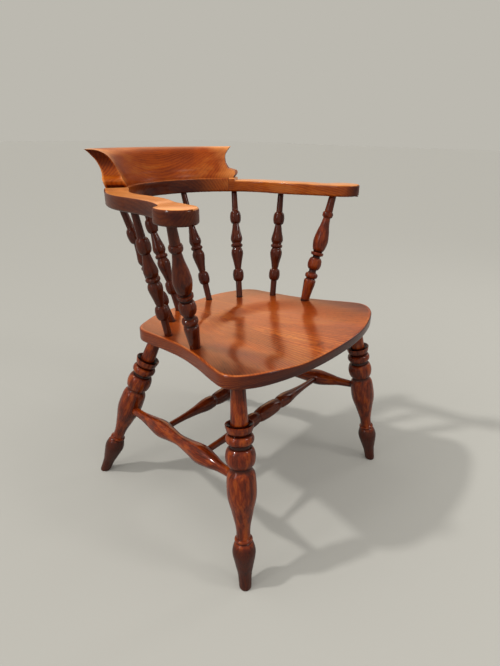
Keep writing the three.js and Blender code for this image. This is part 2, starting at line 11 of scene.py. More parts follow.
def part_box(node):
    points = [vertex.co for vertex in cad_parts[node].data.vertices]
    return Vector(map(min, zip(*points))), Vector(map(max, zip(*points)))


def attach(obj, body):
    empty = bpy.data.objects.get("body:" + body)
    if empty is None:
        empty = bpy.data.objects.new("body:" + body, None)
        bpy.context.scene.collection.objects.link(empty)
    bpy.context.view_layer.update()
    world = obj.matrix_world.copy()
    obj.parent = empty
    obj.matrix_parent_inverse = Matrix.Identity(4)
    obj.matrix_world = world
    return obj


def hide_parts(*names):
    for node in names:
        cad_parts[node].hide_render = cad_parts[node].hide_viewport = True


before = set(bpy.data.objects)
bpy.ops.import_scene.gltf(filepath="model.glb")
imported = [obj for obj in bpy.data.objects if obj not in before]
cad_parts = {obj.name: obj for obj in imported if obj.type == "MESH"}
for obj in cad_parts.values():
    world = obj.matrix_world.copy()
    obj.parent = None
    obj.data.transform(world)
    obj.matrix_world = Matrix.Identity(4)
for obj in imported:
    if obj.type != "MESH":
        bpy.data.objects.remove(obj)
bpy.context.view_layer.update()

METRES_PER_MM = 0.001
SIDES = {"left": 1, "right": -1}  # the sitter's, with +X to the left

# Seat

SEAT_HEIGHT = 438
SEAT_WIDTH = 508
SEAT_FRONT_REACH = 274
SEAT_BACK_REACH = 171
SEAT_THICKNESS = 27
SEAT_SLOPE = 0.05
SEAT_DISH = 9
SEAT_TOP_ROUND = 4
SEAT_BOTTOM_ROUND = 3
SEAT_ROUND_STEPS = 6
SEAT_OUTLINE_STEPS = 320
SEAT_RINGS = 60
SEAT_OUTLINE_SHARES = [
    (0, 0), (0.38, 0), (0.6, 0.043), (0.72, 0.08), (0.775, 0.13), (0.79, 0.21), (0.8, 0.32),
    (0.825, 0.45), (0.89, 0.59), (0.97, 0.72), (1, 0.79), (0.98, 0.835), (0.93, 0.87),
    (0.8, 0.92), (0.45, 0.98), (0, 1),
]
SEAT_GRAIN_FAN = 333  # how far forward the grain has fanned out to double width
SEAT_GRAIN_SCALE = 1.5
SEAT_GRAIN_RISE = 34
SEAT_GRAIN_SLANT = 0.06
SEAT_GRAIN_OFFSET = 22
SEAT_EDGE_GRAIN = (0.3, 2.2, 1)  # how the grain is stretched on the board's sides
DISH_WIDTH_SHARE = 0.8
DISH_BACK_SHARE = 0.25
DISH_CENTRE_SHARE = 0.55
DISH_FLAT_SHARE = 0.55
DISH_FRONT_SHARE = 0.3
DISH_FRONT_RUN_SHARE = 0.3

# Legs and stretchers

LEG_HEAD_SHARES = {"front": (0.858, 0.807), "back": (0.505, 0.081)}
LEG_SPREAD = {"front": (51, -68), "back": (111, 123)}  # outwards and rearwards
LEG_RADIUS = 29
FOOT_ROUND = 3
FOOT_ROUND_STEPS = 6
FOOT_LEVEL_RUN = 24  # how far up a foot its rings stay tilted to meet the floor
SIDE_STRETCHER_SHARES = {"back": 0.476, "front": 0.541}
SIDE_STRETCHER_RADIUS = 20.5
CROSS_STRETCHER_RADIUS = 17.8
CROSS_PLACE_SHARES = {"back": 0.362, "front": 0.703}
PEG = 8  # how far a turned piece runs into what it enters

# Arm posts and spindles

POST_RADIUS = 18.4
SPINDLE_RADIUS = 15.6
POST_FOOT_SHARES = (0.768, 0.51)
SPINDLE_FOOT_SHARES = [(0.72, 0.299), (0.4685, 0.1596), (0.2087, 0.0517)]
SPINDLE_HEAD_ANGLES = (-3, 33, 71.6)
SPINDLE_HEAD_SHARES = (0.26, -0.1, -0.2)
POST_HEAD_SHARES = (0.445, 0.705)

# Arm bow and crest

ARM_RISE = 254
BOW_SLOPE = 0.02
ARM_THICKNESS = 28
BOW_RISE = 6
BOW_WIDTH = 50
BOW_HALF_WIDTH = 218
BOW_HALF_DEPTH = 194
BOW_CENTRE = 70
ARM_REACH = 207
ARM_TOP_ROUND = 4
ARM_BOTTOM_ROUND = 5
ARM_ROUND_STEPS = 5
ARM_TOP_STEPS = 8
JOINT_ANGLE = 36.5
JOINT_GAP = 0.3
JOINT_LINE = 0.8  # width of the dark line beside the joint
CREST_ANGLE = 31.5
PADDLE_OUTER = 301.75
PADDLE_INNER = 228
PADDLE_CENTRE_SHARE = 0.83  # of the arm's reach
PADDLE_DROP = 1.6  # the paddle's rim below its crown
ARM_DIP = 1.4  # hollow in the arm's top just behind the paddle
ARM_DIP_SHARES = (0.58, 0.1)  # its place and half length, over the reach
ARM_STEPS = 90
ARM_ARC_STEPS = 30
RAIL_STEPS = 90
# The raised part's end: millimetres ahead of the crest's end, share of the rise
STEP_OUTLINE = [(-4, 1), (-2, 0.97), (-0.8, 0.86), (-0.2, 0.66), (0.1, 0.1), (0.6, 0)]
ARM_OUTLINE_SHARES = [
    (0.26, 0.2), (0.38, 0.42), (0.52, 0.57), (0.66, 0.63), (0.9, 0.68), (1, 0.79), (0.95, 0.9),
    (0.76, 0.98), (0.5, 1), (0.24, 0.96), (0.07, 0.87), (0, 0.75), (-0.12, 0.56), (-0.36, 0.3),
]
CREST_HEIGHT = 73.5
CREST_SWEEP = 56
CREST_END_INSET = 28
CREST_STEPS = 110
CREST_ROW_STEPS = 7
CREST_ACROSS_STEPS = 8
# Height share, shares of the sweep back to the front face and to the back face, inset share
CREST_BEAD_SHARES = [(0, -0.38, 0.38, 0.2), (0.08, -0.35, 0.42, 0.05), (0.16, -0.3, 0.45, 0),
                     (0.23, -0.25, 0.47, 0.1)]
CREST_COVE_SHARES = [(0.3, -0.21, 0.48, 0.68), (0.48, -0.07, 0.53, 0.94), (0.7, 0.1, 0.665, 1),
                     (0.84, 0.24, 0.8, 0.86), (0.93, 0.42, 0.9, 0.74), (0.985, 0.66, 0.98, 0.65),
                     (1, 1, 1, 0.6)]

# Screws under the back rail

SCREW_HEAD_RADIUS = 4.6
SCREW_RECESS = 8
SCREW_SPREAD_SHARES = (0.16, 0.4, 0.6, 0.84)
SCREW_HOLE_SIDES = 32

# Meshes

TURNED_SIDES = 64
FLOW_STEPS = 14  # between two points of a turned outline
BEAD_STEPS = 16
MERGE_REACH = 0.03  # points of a mesh that lie nearer than this become one
SHARP_ANGLE = math.radians(38)

# Where each piece lay in its log: across, up and along. No two lay alike.

LEG_LOG = {"front": (70, -80, 0), "back": (70, 90, 900)}
LEG_LOG_STEP = 500  # along the log, towards each side's own end
SIDE_STRETCHER_LOG = (80, 60, 1500)
CROSS_STRETCHER_LOG = (70, 50, 4200)
UPRIGHT_LOG = (60, -70, 2500)
UPRIGHT_LOG_STEP = (9, 0, 700)  # from one upright of a side to the next
ARM_LOG = (-150, 70, 400)
RAIL_LOG = (-330, 40)
CREST_LOG = (-60, -20)

# Dirt, dark joints, painted shade, and wear with painted sheen: 0 is untouched and 1 is fully darkened
# or worn

GROOVE_REACH = 5  # half width of the widest cut that counts as a groove
GROOVE_DEPTH = 3.6  # depth at which a groove's painted shade is full
CONTACT_REACH = 5  # how far the dark line round a joint reaches
CONTACT_DIRT = 0.9  # in that line, on a board
JOINT_DIRT = 0.8  # in the line between an arm and the back rail
# how much darker the legs are made near the floor
FOOT_DARKENING = 0.68
# how dark the painted shade in grooves, the dark line at each joint and the darkened edge of a sole
# get
GROOVE_SHADE_AND_JOINT_LINE = 0.85
POST_SHADE = (0.6, 0.05)  # painted shade on a post's outer and inner side
# painted shade on a spindle's outer and inner side
SPINDLE_SHADE = (0.6, 0.6)
# even darkening of a cross stretcher, on its outer and inner side
CROSS_DARKENING = (0.45, 0.45)
RAIL_SHADE = 0.8  # painted shade on the back rail's inner side, away from its joints
# run from each joint over which the painted shade on the rail's inner side grows to full
RAIL_UNSHADED_RUN = 130
# heights over which that darkening of the legs fades
FOOT_DARKENING_HEIGHTS = (92, 104)
SIDE_SHADE = 0.8  # painted shade on the outer sides of the bow
PADDLE_TIP_SHARE = 0.86  # of the arm's reach, ahead of which its inner side has painted shade too
SEAT_SIDE_SHADE = 0.5  # painted shade on the sides of the seat
RIM_SHADE = 0.75  # painted shade on the seat's top, towards its left and right sides
RIM_SHADE_SHARES = (0.35, 0.95)  # where it starts and ends, over the half width
RIM_FRONT_SHARES = (0.75, 1)  # where it fades, over the reach of the front
ARRIS_WEAR_AND_HIGHLIGHT = 0.12  # wear and a painted highlight on the rounded edge round the seat's top
END_GRAIN_STAIN_AND_SHADE = 0.88  # on the seat's front, where end grain took more stain and the painted shade is deepest
ARM_WEAR_AND_SHEEN = 0.7  # how worn the tops of the arms are, with painted sheen on them
# the same on the paddles: wear and painted sheen
PADDLE_WEAR_AND_SHEEN = 0.85
# wear and painted sheen on the crest's faces near its ends
CREST_END_WEAR_AND_SHEEN = 0.95
CREST_END_DARKENING = 0.65  # darkening high up on the end faces
CREST_DARKENING_SHARES = (0.42, 0.62)  # where that darkening starts, over the crest's height
CREST_FOOT_SHADOW = 0.85  # painted shadow along the foot of the end faces
CREST_FOOT_HEIGHTS = (2, 5.5)  # over which that painted shadow fades
CREST_END_RUN = 0.2  # share of the crest's length that is worn and given painted sheen, at each end

# Sizes worked out from these

SEAT_DEPTH = SEAT_FRONT_REACH + SEAT_BACK_REACH
SEAT_HALF_WIDTH = SEAT_WIDTH / 2
ARM_HEIGHT = SEAT_HEIGHT + ARM_RISE
BOW_TILT = math.atan(BOW_SLOPE)
CREST_FOOT = ARM_HEIGHT + ARM_THICKNESS + BOW_RISE
# Loops of the seat's mesh up to the middle of the top's rounding, and up to that rounding's end
SEAT_EDGE_LOOPS = (SEAT_ROUND_STEPS + 1) + (SEAT_ROUND_STEPS // 2 + 1)
SEAT_ROUNDED_LOOPS = 2 * (SEAT_ROUND_STEPS + 1)


def cross_line_shift():
    """How far the frame's origin lies in front of the cross line, in metres."""
    low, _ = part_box("seat")
    return low.y + SEAT_FRONT_REACH * METRES_PER_MM


SHIFT = cross_line_shift()


def in_metres(point):
    place = Vector(point) * METRES_PER_MM
    place.y += SHIFT
    return place


# Numbers and curves


def lerp(start, end, share):
    return start + (end - start) * share


def smooth(start, end, value):
    share = min(max((value - start) / (end - start), 0), 1)
    return share * share * (3 - 2 * share)


def quarter_turn(steps):
    return [math.pi / 2 * i / steps for i in range(steps + 1)]


def spline(points, steps, closed=False):
    """A centripetal curve through the points, with equal steps between each two of them."""
    count = len(points)
    spans = count if closed else count - 1
    if closed:
        def at(i):
            return points[i % count]
    else:
        ends = (2 * points[0] - points[1], 2 * points[-1] - points[-2])

        def at(i):
            return ends[0] if i < 0 else ends[1] if i >= count else points[i]
    curve = []
    for step in range(steps + (0 if closed else 1)):
        place = step * spans / steps
        span = min(int(place), spans - 1)
        a, b, c, d = (at(span + offset) for offset in (-1, 0, 1, 2))
        gaps = [max((q - p).length, 1e-6) ** 0.5 for p, q in ((a, b), (b, c), (c, d))]
        leave = (b - a) / gaps[0] - (c - a) / (gaps[0] + gaps[1]) + (c - b) / gaps[1]
        reach = (c - b) / gaps[1] - (d - b) / (gaps[1] + gaps[2]) + (d - c) / gaps[2]
        leave, reach = leave * gaps[1], reach * gaps[1]
        t = place - span
        curve.append(b * (2 * t**3 - 3 * t**2 + 1) + leave * (t**3 - 2 * t**2 + t)
                     + c * (3 * t**2 - 2 * t**3) + reach * (t**3 - t**2))
    return curve


def even(points, count):
    """Points of a closed outline, moved so that they lie at equal distances along it."""
    ring = points + [points[0]]
    reach = [0]
    for a, b in zip(ring, ring[1:]):
        reach.append(reach[-1] + (b - a).length)
    placed, span = [], 0
    for i in range(count):
        target = reach[-1] * i / count
        while reach[span + 1] < target:
            span += 1
        share = (target - reach[span]) / (reach[span + 1] - reach[span])
        placed.append(ring[span].lerp(ring[span + 1], share))
    return placed


def flow(shares, steps=FLOW_STEPS):
    points = [Vector((along, radius, 0)) for along, radius in shares]
    return [(point.x, point.y) for point in spline(points, steps * (len(shares) - 1))]


def bead(start, end, neck, crown, steps=BEAD_STEPS):
    middle, half = (start + end) / 2, (end - start) / 2
    angles = [math.pi * i / steps for i in range(steps + 1)]
    return [(middle - half * math.cos(angle), neck + (crown - neck) * math.sin(angle))
            for angle in angles]


# Turned outlines: share of the length, share of the greatest radius

LEG_SHARES = [
    *flow([(0, 0.42), (0.07, 0.48), (0.12, 0.62), (0.19, 0.8), (0.225, 0.7), (0.24, 0.57)]),
    *bead(0.244, 0.262, 0.5, 0.62),
    *flow([(0.264, 0.47), (0.3, 0.48), (0.39, 0.72), (0.49, 1), (0.56, 0.97), (0.605, 0.72)]),
    *bead(0.615, 0.706, 0.7, 1),
    *bead(0.722, 0.766, 0.7, 0.94),
    *flow([(0.77, 0.73), (0.786, 0.87), (0.811, 0.95)]),
    *flow([(0.812, 0.92), (0.807, 0.8), (0.797, 0.61)]),
    *flow([(0.799, 0.6), (0.88, 0.54), (1, 0.475)]),
]
SIDE_STRETCHER_OUTLINE = flow([
    (0, 0.47), (0.09, 0.5), (0.2, 0.7), (0.335, 0.97), (0.43, 0.76), (0.52, 0.61), (0.62, 0.76),
    (0.735, 1), (0.83, 0.78), (0.91, 0.52), (1, 0.42),
])
CROSS_TAPER_SHARES = [(0, 0.39), (0.1, 0.42), (0.22, 0.62), (0.33, 0.92), (0.37, 0.89), (0.397, 0.74)]
CROSS_STRETCHER_OUTLINE = [
    *flow(CROSS_TAPER_SHARES),
    *bead(0.403, 0.597, 0.72, 1),
    *flow([(1 - along, radius) for along, radius in reversed(CROSS_TAPER_SHARES)]),
]
POST_SHARES = [
    *flow([(0, 0.56), (0.1, 0.7), (0.185, 0.82), (0.21, 0.66)]),
    *bead(0.218, 0.27, 0.58, 0.88),
    (0.285, 0.49),
    *bead(0.3, 0.418, 0.52, 0.93),
    (0.428, 0.48),
    *flow([(0.436, 0.62), (0.448, 0.85), (0.46, 0.86), (0.468, 0.66)], 5),
    *flow([(0.472, 0.6), (0.51, 0.86), (0.575, 1), (0.65, 0.86), (0.72, 0.62), (0.785, 0.48)]),
    *bead(0.795, 0.848, 0.52, 0.72),
    *flow([(0.852, 0.54), (0.92, 0.5), (1, 0.47)]),
]
SPINDLE_SHARES = [
    *flow([(0, 0.5), (0.145, 0.5)]),
    *bead(0.152, 0.262, 0.6, 0.92),
    *flow([(0.266, 0.52), (0.32, 0.68), (0.42, 1), (0.468, 0.74)]),
    *bead(0.471, 0.505, 0.76, 0.98, 8),
    *flow([(0.508, 0.74), (0.55, 0.98), (0.63, 0.7), (0.69, 0.52)]),
    *bead(0.696, 0.81, 0.6, 0.92),
    *flow([(0.817, 0.52), (1, 0.46)]),
]


# Meshes


def link(name, data):
    made = bpy.data.objects.new(name, data)
    bpy.context.scene.collection.objects.link(made)
    return made


def make_piece(name, points, faces, grain, dirt_shade_and_wear, material):
    """A mesh in the chair's frame. grain is each point's place in its log, in millimetres with
    +Z along the grain. The list after grain gives how far each point is darkened by dirt, dark joints
    or painted shade, or below zero how far it is paled by wear and painted sheen."""
    mesh = bpy.data.meshes.new(name)
    mesh.from_pydata([in_metres(point) for point in points], [], faces)
    grains = mesh.attributes.new("grain", "FLOAT_VECTOR", "POINT")
    grains.data.foreach_set("vector", [value for place in grain for value in place])
    dirt_shade_and_wear_values = mesh.attributes.new("dirt_shade_and_wear", "FLOAT", "POINT")
    dirt_shade_and_wear_values.data.foreach_set("value", dirt_shade_and_wear)
    made = bmesh.new()
    made.from_mesh(mesh)
    bmesh.ops.remove_doubles(made, verts=made.verts, dist=METRES_PER_MM * MERGE_REACH)
    bmesh.ops.recalc_face_normals(made, faces=made.faces)
    made.to_mesh(mesh)
    made.free()
    mesh.polygons.foreach_set("use_smooth", [True] * len(mesh.polygons))
    mesh.set_sharp_from_angle(angle=SHARP_ANGLE)
    mesh.materials.append(material)
    return link(name, mesh)


def dress(piece, node):
    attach(piece, "root")
    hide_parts(node)


def loop_faces(loops, count):
    """Quads between neighbouring closed loops of count points each."""
    return [(low * count + i, low * count + (i + 1) % count,
             (low + 1) * count + (i + 1) % count, (low + 1) * count + i)
            for low in range(loops - 1) for i in range(count)]


def groove_shades(rows):
    """How deep each row of a turned outline, (place, radius), lies in a narrow groove."""
    def near(i):
        return [k for k, row in enumerate(rows) if abs(row[0] - rows[i][0]) <= GROOVE_REACH]
    filled = [max(rows[k][1] for k in near(i)) for i in range(len(rows))]
    closed = [min(filled[k] for k in near(i)) for i in range(len(rows))]
    return [min((shut - row[1]) / GROOVE_DEPTH, 1) for shut, row in zip(closed, rows)]


def low_darkening(height):
    """How much darker a leg is made at a height above the floor."""
    return FOOT_DARKENING * (1 - smooth(*FOOT_DARKENING_HEIGHTS, height))


def rounded_foot(rows, shades):
    """A leg's rows and shades, with the edge of its sole rounded and darkened."""
    radius = rows[0][1]
    rounding = [(FOOT_ROUND * (1 - math.cos(angle)), radius - FOOT_ROUND * (1 - math.sin(angle)))
                for angle in quarter_turn(FOOT_ROUND_STEPS)[:-1]]
    kept = [pair for pair in zip(rows, shades) if pair[0][0] > FOOT_ROUND]
    dirt_and_shade = [1 - along / FOOT_ROUND for along, _ in rounding]
    return rounding + [row for row, _ in kept], dirt_and_shade + [shade for _, shade in kept]


def turned(name, shares, start, end, radius, material, log_place, dirt_and_shade=(0, 0), level_foot=False):
    """A piece turned between two points, with a short peg beyond each where it enters another."""
    axis = (end - start).normalized()
    turn = Vector((0, 0, 1)).rotation_difference(axis)
    length = (end - start).length
    rows = [(along * length, across * radius) for along, across in shares]
    shades = groove_shades(rows)
    if level_foot:
        rows, shades = rounded_foot(rows, shades)
    else:
        rows = [(-PEG, rows[0][1])] + rows
        shades = [1] + shades
    rows.append((length + PEG, rows[-1][1]))
    shades.append(1)
    points, grain, dirt_shade_and_wear = [], [], []
    for (along, across), shade in zip(rows, shades):
        from_joint = length - along if level_foot else min(along, length - along)
        shade = max(shade, 1 - smooth(0, CONTACT_REACH, from_joint))
        for i in range(TURNED_SIDES):
            angle = 2 * math.pi * i / TURNED_SIDES
            local = Vector((across * math.cos(angle), across * math.sin(angle), along))
            place = start + turn @ local
            if level_foot:
                tilted = 1 - smooth(0, FOOT_LEVEL_RUN, along)
                slide = (place.z - start.z - axis.z * along) / axis.z
                place -= axis * slide * tilted
            points.append(place)
            grain.append(local + log_place)
            sideways = (turn @ Vector((local.x, local.y, 0))).x / across
            outer = (1 + math.copysign(1, start.x) * sideways) / 2
            # A leg darkens towards its foot; other pieces are darkened by the pair given for their
            # outer and inner side: painted shade on the uprights, an even darkening on the cross
            # stretchers.
            plain = low_darkening(place.z) if level_foot else lerp(dirt_and_shade[1], dirt_and_shade[0], outer)
            # Grooves get painted shade; the sole's rounded edge and a line at each joint are darkened
            # too.
            dirt_shade_and_wear.append(max(GROOVE_SHADE_AND_JOINT_LINE * shade, plain))
    count = len(rows)
    faces = loop_faces(count, TURNED_SIDES)
    faces.append(tuple(reversed(range(TURNED_SIDES))))
    faces.append(tuple(range((count - 1) * TURNED_SIDES, count * TURNED_SIDES)))
    piece = make_piece(f"turned_{name}", points, faces, grain, dirt_shade_and_wear, material)
    dress(piece, name)


# Seat


def seat_depth_at(share):
    return SEAT_BACK_REACH - share * SEAT_DEPTH


def seat_rim(y):
    return SEAT_HEIGHT + SEAT_SLOPE * (seat_depth_at(POST_FOOT_SHARES[1]) - y)


def seat_underside(y):
    return seat_rim(y) - SEAT_THICKNESS


def seat_top(x, y):
    centre, back = seat_depth_at(DISH_CENTRE_SHARE), seat_depth_at(DISH_BACK_SHARE)
    sideways = x / (DISH_WIDTH_SHARE * SEAT_HALF_WIDTH)
    rearward = max(0, (y - centre) / (back - centre))
    hollow = 1 - smooth(DISH_FLAT_SHARE, 1, math.hypot(sideways, rearward))
    forward = smooth(seat_depth_at(1 - DISH_FRONT_RUN_SHARE), seat_depth_at(1), y)
    return seat_rim(y) - SEAT_DISH * hollow * (1 - DISH_FRONT_SHARE * forward)


def seat_outline():
    half = [Vector((across * SEAT_HALF_WIDTH, seat_depth_at(back), 0))
            for across, back in SEAT_OUTLINE_SHARES]
    mirrored = [Vector((-point.x, point.y, 0)) for point in reversed(half[1:-1])]
    smoothed = spline(half + mirrored, 2 * SEAT_OUTLINE_STEPS, closed=True)
    return even(smoothed, SEAT_OUTLINE_STEPS)


def inset(outline, distance):
    moved = []
    for i, point in enumerate(outline):
        along = (outline[(i + 1) % len(outline)] - outline[i - 1]).normalized()
        moved.append(Vector((point.x + along.y * distance, point.y - along.x * distance, 0)))
    return moved


def seat_grain(point):
    """The grain fans out towards the front, and the log's pith lies just under the board."""
    x, y, z = point
    forward = seat_depth_at(0) - y
    fan = 1 + (forward / SEAT_GRAIN_FAN) ** 2
    below = SEAT_GRAIN_RISE + SEAT_GRAIN_SLANT * y + z - SEAT_HEIGHT
    return Vector(((x + SEAT_GRAIN_OFFSET) / fan * SEAT_GRAIN_SCALE, below, y))


def seat_loops(outline, middle):
    """Loops of (place, height) up the side, over its two rounded edges, and in towards a middle."""
    loops = []
    for angle in quarter_turn(SEAT_ROUND_STEPS):
        around = inset(outline, SEAT_BOTTOM_ROUND * (1 - math.sin(angle)))
        rise = SEAT_BOTTOM_ROUND * (1 - math.cos(angle))
        loops.append([(point, seat_underside(point.y) + rise) for point in around])
    for angle in quarter_turn(SEAT_ROUND_STEPS):
        around = inset(outline, SEAT_TOP_ROUND * (1 - math.cos(angle)))
        drop = SEAT_TOP_ROUND * (1 - math.sin(angle))
        loops.append([(point, seat_top(point.x, point.y) - drop) for point in around])
    rim = inset(outline, SEAT_TOP_ROUND)
    for ring in range(1, SEAT_RINGS + 1):
        share = 1 - ring / (SEAT_RINGS + 1)
        around = [middle + (point - middle) * share for point in rim]
        loops.append([(point, seat_top(point.x, point.y)) for point in around])
    return loops


def seat_top_joints_and_shade(point, entries):
    """A dark line round the uprights, which are (place, radius), and painted shade towards the seat's
    sides.
    """
    gap = min((point.xy - foot.xy).length - radius for foot, radius in entries)
    sideways = RIM_SHADE * smooth(*RIM_SHADE_SHARES, abs(point.x) / SEAT_HALF_WIDTH)
    in_front = smooth(*RIM_FRONT_SHARES, -point.y / SEAT_FRONT_REACH)
    return max(CONTACT_DIRT * (1 - smooth(0, CONTACT_REACH, gap)), sideways * (1 - in_front))


def seat(material):
    outline = seat_outline()
    count = len(outline)
    middle = Vector((0, seat_depth_at(DISH_CENTRE_SHARE), 0))
    loops = seat_loops(outline, middle)
    points = [Vector((point.x, point.y, z)) for loop in loops for point, z in loop]
    faces = loop_faces(len(loops), count)
    under, crown = len(points), len(points) + 1
    points.append(Vector((middle.x, middle.y, seat_underside(middle.y))))
    points.append(Vector((middle.x, middle.y, seat_top(middle.x, middle.y))))
    last = (len(loops) - 1) * count
    for i in range(count):
        faces.append((under, (i + 1) % count, i))
        faces.append((crown, last + i, last + (i + 1) % count))
    entries = [(upright["foot"], upright["shares"][0][1] * upright["radius"])
               for side in SIDES.values() for upright in uprights(side)]
    grain, dirt_shade_and_wear = [], []
    for number, point in enumerate(points):
        loop, i = divmod(number, count)
        if loop < SEAT_EDGE_LOOPS:
            along = (outline[(i + 1) % count] - outline[i - 1]).normalized()
            grain.append(seat_grain(point) * Vector(SEAT_EDGE_GRAIN))
            # The seat's sides get painted shade, more at the front and back, where end grain also took
            # more stain.
            dirt_shade_and_wear.append(lerp(SEAT_SIDE_SHADE, END_GRAIN_STAIN_AND_SHADE, along.x * along.x))
        else:
            grain.append(seat_grain(point))
            # The top's rounded edge is paled by wear and a painted highlight.
            rounded = loop < SEAT_ROUNDED_LOOPS
            # The rest of the top gets a dark line round the uprights and painted shade towards its
            # sides.
            dirt_shade_and_wear.append(-ARRIS_WEAR_AND_HIGHLIGHT if rounded else seat_top_joints_and_shade(point, entries))
    piece = make_piece("seat_board", points, faces, grain, dirt_shade_and_wear, material)
    dress(piece, "seat")


# Places of the legs and stretchers


def leg_head(row, side):
    across, back = LEG_HEAD_SHARES[row]
    y = seat_depth_at(back)
    return Vector((side * across * SEAT_HALF_WIDTH, y, seat_underside(y)))


def leg_point(row, side, share):
    head = leg_head(row, side)
    outwards, rearwards = LEG_SPREAD[row]
    foot = Vector((head.x + side * outwards, head.y + rearwards, 0))
    return foot.lerp(head, share)


def leg_radius_at(share):
    after = next(i for i, row in enumerate(LEG_SHARES) if row[0] > share)
    low, high = LEG_SHARES[after - 1], LEG_SHARES[after]
    return LEG_RADIUS * lerp(low[1], high[1], (share - low[0]) / (high[0] - low[0]))


def side_stretcher_line(side):
    """The ends of a side stretcher's middle line, in the back leg and in the front leg."""
    return [leg_point(row, side, share) for row, share in SIDE_STRETCHER_SHARES.items()]


def shoulders(start, end, start_radius, end_radius):
    """Where a line leaves the surface of the round piece at either end."""
    direction = (end - start).normalized()
    return start + direction * start_radius, end - direction * end_radius


def side_shoulders(side):
    radii = map(leg_radius_at, SIDE_STRETCHER_SHARES.values())
    return shoulders(*side_stretcher_line(side), *radii)


def cross_shoulders(share):
    lines = [side_stretcher_line(SIDES[name]) for name in ("right", "left")]
    right, left = (back.lerp(front, share) for back, front in lines)
    return shoulders(right, left, SIDE_STRETCHER_RADIUS, SIDE_STRETCHER_RADIUS)


# Places of the posts and spindles


def seat_point(shares, side):
    x, y = side * shares[0] * SEAT_HALF_WIDTH, seat_depth_at(shares[1])
    return Vector((x, y, seat_top(x, y)))


def on_bow(x, y, height):
    """A place on the bow, which is drawn flat round its own centre and then tilted."""
    place = Matrix.Rotation(-BOW_TILT, 3, "X") @ Vector((x, y, height))
    return place + Vector((0, BOW_CENTRE, ARM_HEIGHT))


def bow_point(degrees, offset):
    angle = math.radians(degrees)
    return Vector(((BOW_HALF_WIDTH + offset) * math.cos(angle),
                   (BOW_HALF_DEPTH + offset) * math.sin(angle)))


def uprights(side):
    """The arm post of a side and its spindles, from front to back."""
    def upright(name, foot_shares, head, radius, shares, dirt_and_shade):
        return {"name": name, "foot": seat_point(foot_shares, side),
                "head": on_bow(side * head.x, head.y, 0),
                "radius": radius, "shares": shares, "dirt_and_shade": dirt_and_shade}
    across, forward = POST_HEAD_SHARES
    head = Vector((lerp(PADDLE_INNER, PADDLE_OUTER, across), -forward * ARM_REACH))
    made = [upright("arm_post", POST_FOOT_SHARES, head, POST_RADIUS, POST_SHARES, POST_SHADE)]
    for foot, degrees, outside in zip(SPINDLE_FOOT_SHARES, SPINDLE_HEAD_ANGLES, SPINDLE_HEAD_SHARES):
        head = bow_point(degrees, outside * BOW_WIDTH)
        made.append(upright("spindle", foot, head, SPINDLE_RADIUS, SPINDLE_SHARES, SPINDLE_SHADE))
    return made


# Arm bow


def arm_branches():
    """The outer and the inner edge of an arm ahead of the half ellipse, each from back to tip."""
    width = PADDLE_OUTER - PADDLE_INNER
    outer, inner = bow_point(0, BOW_WIDTH / 2), bow_point(0, -BOW_WIDTH / 2)
    places = [Vector((PADDLE_INNER + across * width, -forward * ARM_REACH, 0))
              for across, forward in ARM_OUTLINE_SHARES]
    points = [Vector((outer.x, 0, 0)), *places, Vector((inner.x, 0, 0))]
    curve = spline(points, ARM_STEPS * len(points))
    tip = min(range(len(curve)), key=lambda i: curve[i].y)
    return curve[:tip + 1], curve[tip:][::-1]


def x_at(branch, y):
    for a, b in zip(branch, branch[1:]):
        if b.y <= y:
            return lerp(a.x, b.x, (y - a.y) / (b.y - a.y)) if b.y < a.y else b.x
    return branch[-1].x


def degrees_per_mm(degrees):
    angle = math.radians(degrees)
    speed = math.hypot(BOW_HALF_WIDTH * math.sin(angle), BOW_HALF_DEPTH * math.cos(angle))
    return math.degrees(1) / speed


def bow_rung(degrees, height):
    return bow_point(degrees, BOW_WIDTH / 2), bow_point(degrees, -BOW_WIDTH / 2), height


def arm_rungs():
    """(outer point, inner point, thickness) from the joint forward to the paddle's tip."""
    scale = degrees_per_mm(CREST_ANGLE)
    start, beside = (JOINT_ANGLE - reach * degrees_per_mm(JOINT_ANGLE)
                     for reach in (JOINT_GAP / 2, JOINT_LINE))
    rungs = [bow_rung(degrees, ARM_THICKNESS + BOW_RISE) for degrees in (start, beside)]
    for ahead, share in STEP_OUTLINE:
        rungs.append(bow_rung(CREST_ANGLE - ahead * scale, ARM_THICKNESS + share * BOW_RISE))
    after = CREST_ANGLE - STEP_OUTLINE[-1][0] * scale
    for i in range(1, ARM_ARC_STEPS):
        rungs.append(bow_rung(lerp(after, 0, i / ARM_ARC_STEPS), ARM_THICKNESS))
    outer, inner = arm_branches()
    tip = outer[-1]
    for i in range(ARM_STEPS + 1):
        y = tip.y * math.sin(math.pi / 2 * i / ARM_STEPS)
        rungs.append((Vector((x_at(outer, y), y)), Vector((x_at(inner, y), y)), ARM_THICKNESS))
    return rungs


def rail_rungs():
    start, beside = (JOINT_ANGLE + reach * degrees_per_mm(JOINT_ANGLE)
                     for reach in (JOINT_GAP / 2, JOINT_LINE))
    between = [lerp(beside, 180 - beside, i / RAIL_STEPS) for i in range(RAIL_STEPS + 1)]
    return [bow_rung(degrees, ARM_THICKNESS + BOW_RISE)
            for degrees in (start, *between, 180 - start)]


def outward(edge, i, fallback):
    """The outward direction of one edge of the bow at a rung."""
    if i in (0, len(edge) - 1):
        return fallback
    along = (edge[i + 1] - edge[i - 1]).normalized()
    normal = Vector((-along.y, along.x))
    return normal if normal.dot(fallback) >= 0 else -normal


def on_paddle(y):
    """How fully a place along the arm belongs to its paddle."""
    return smooth(ARM_DIP_SHARES[0], PADDLE_CENTRE_SHARE, -y / ARM_REACH)


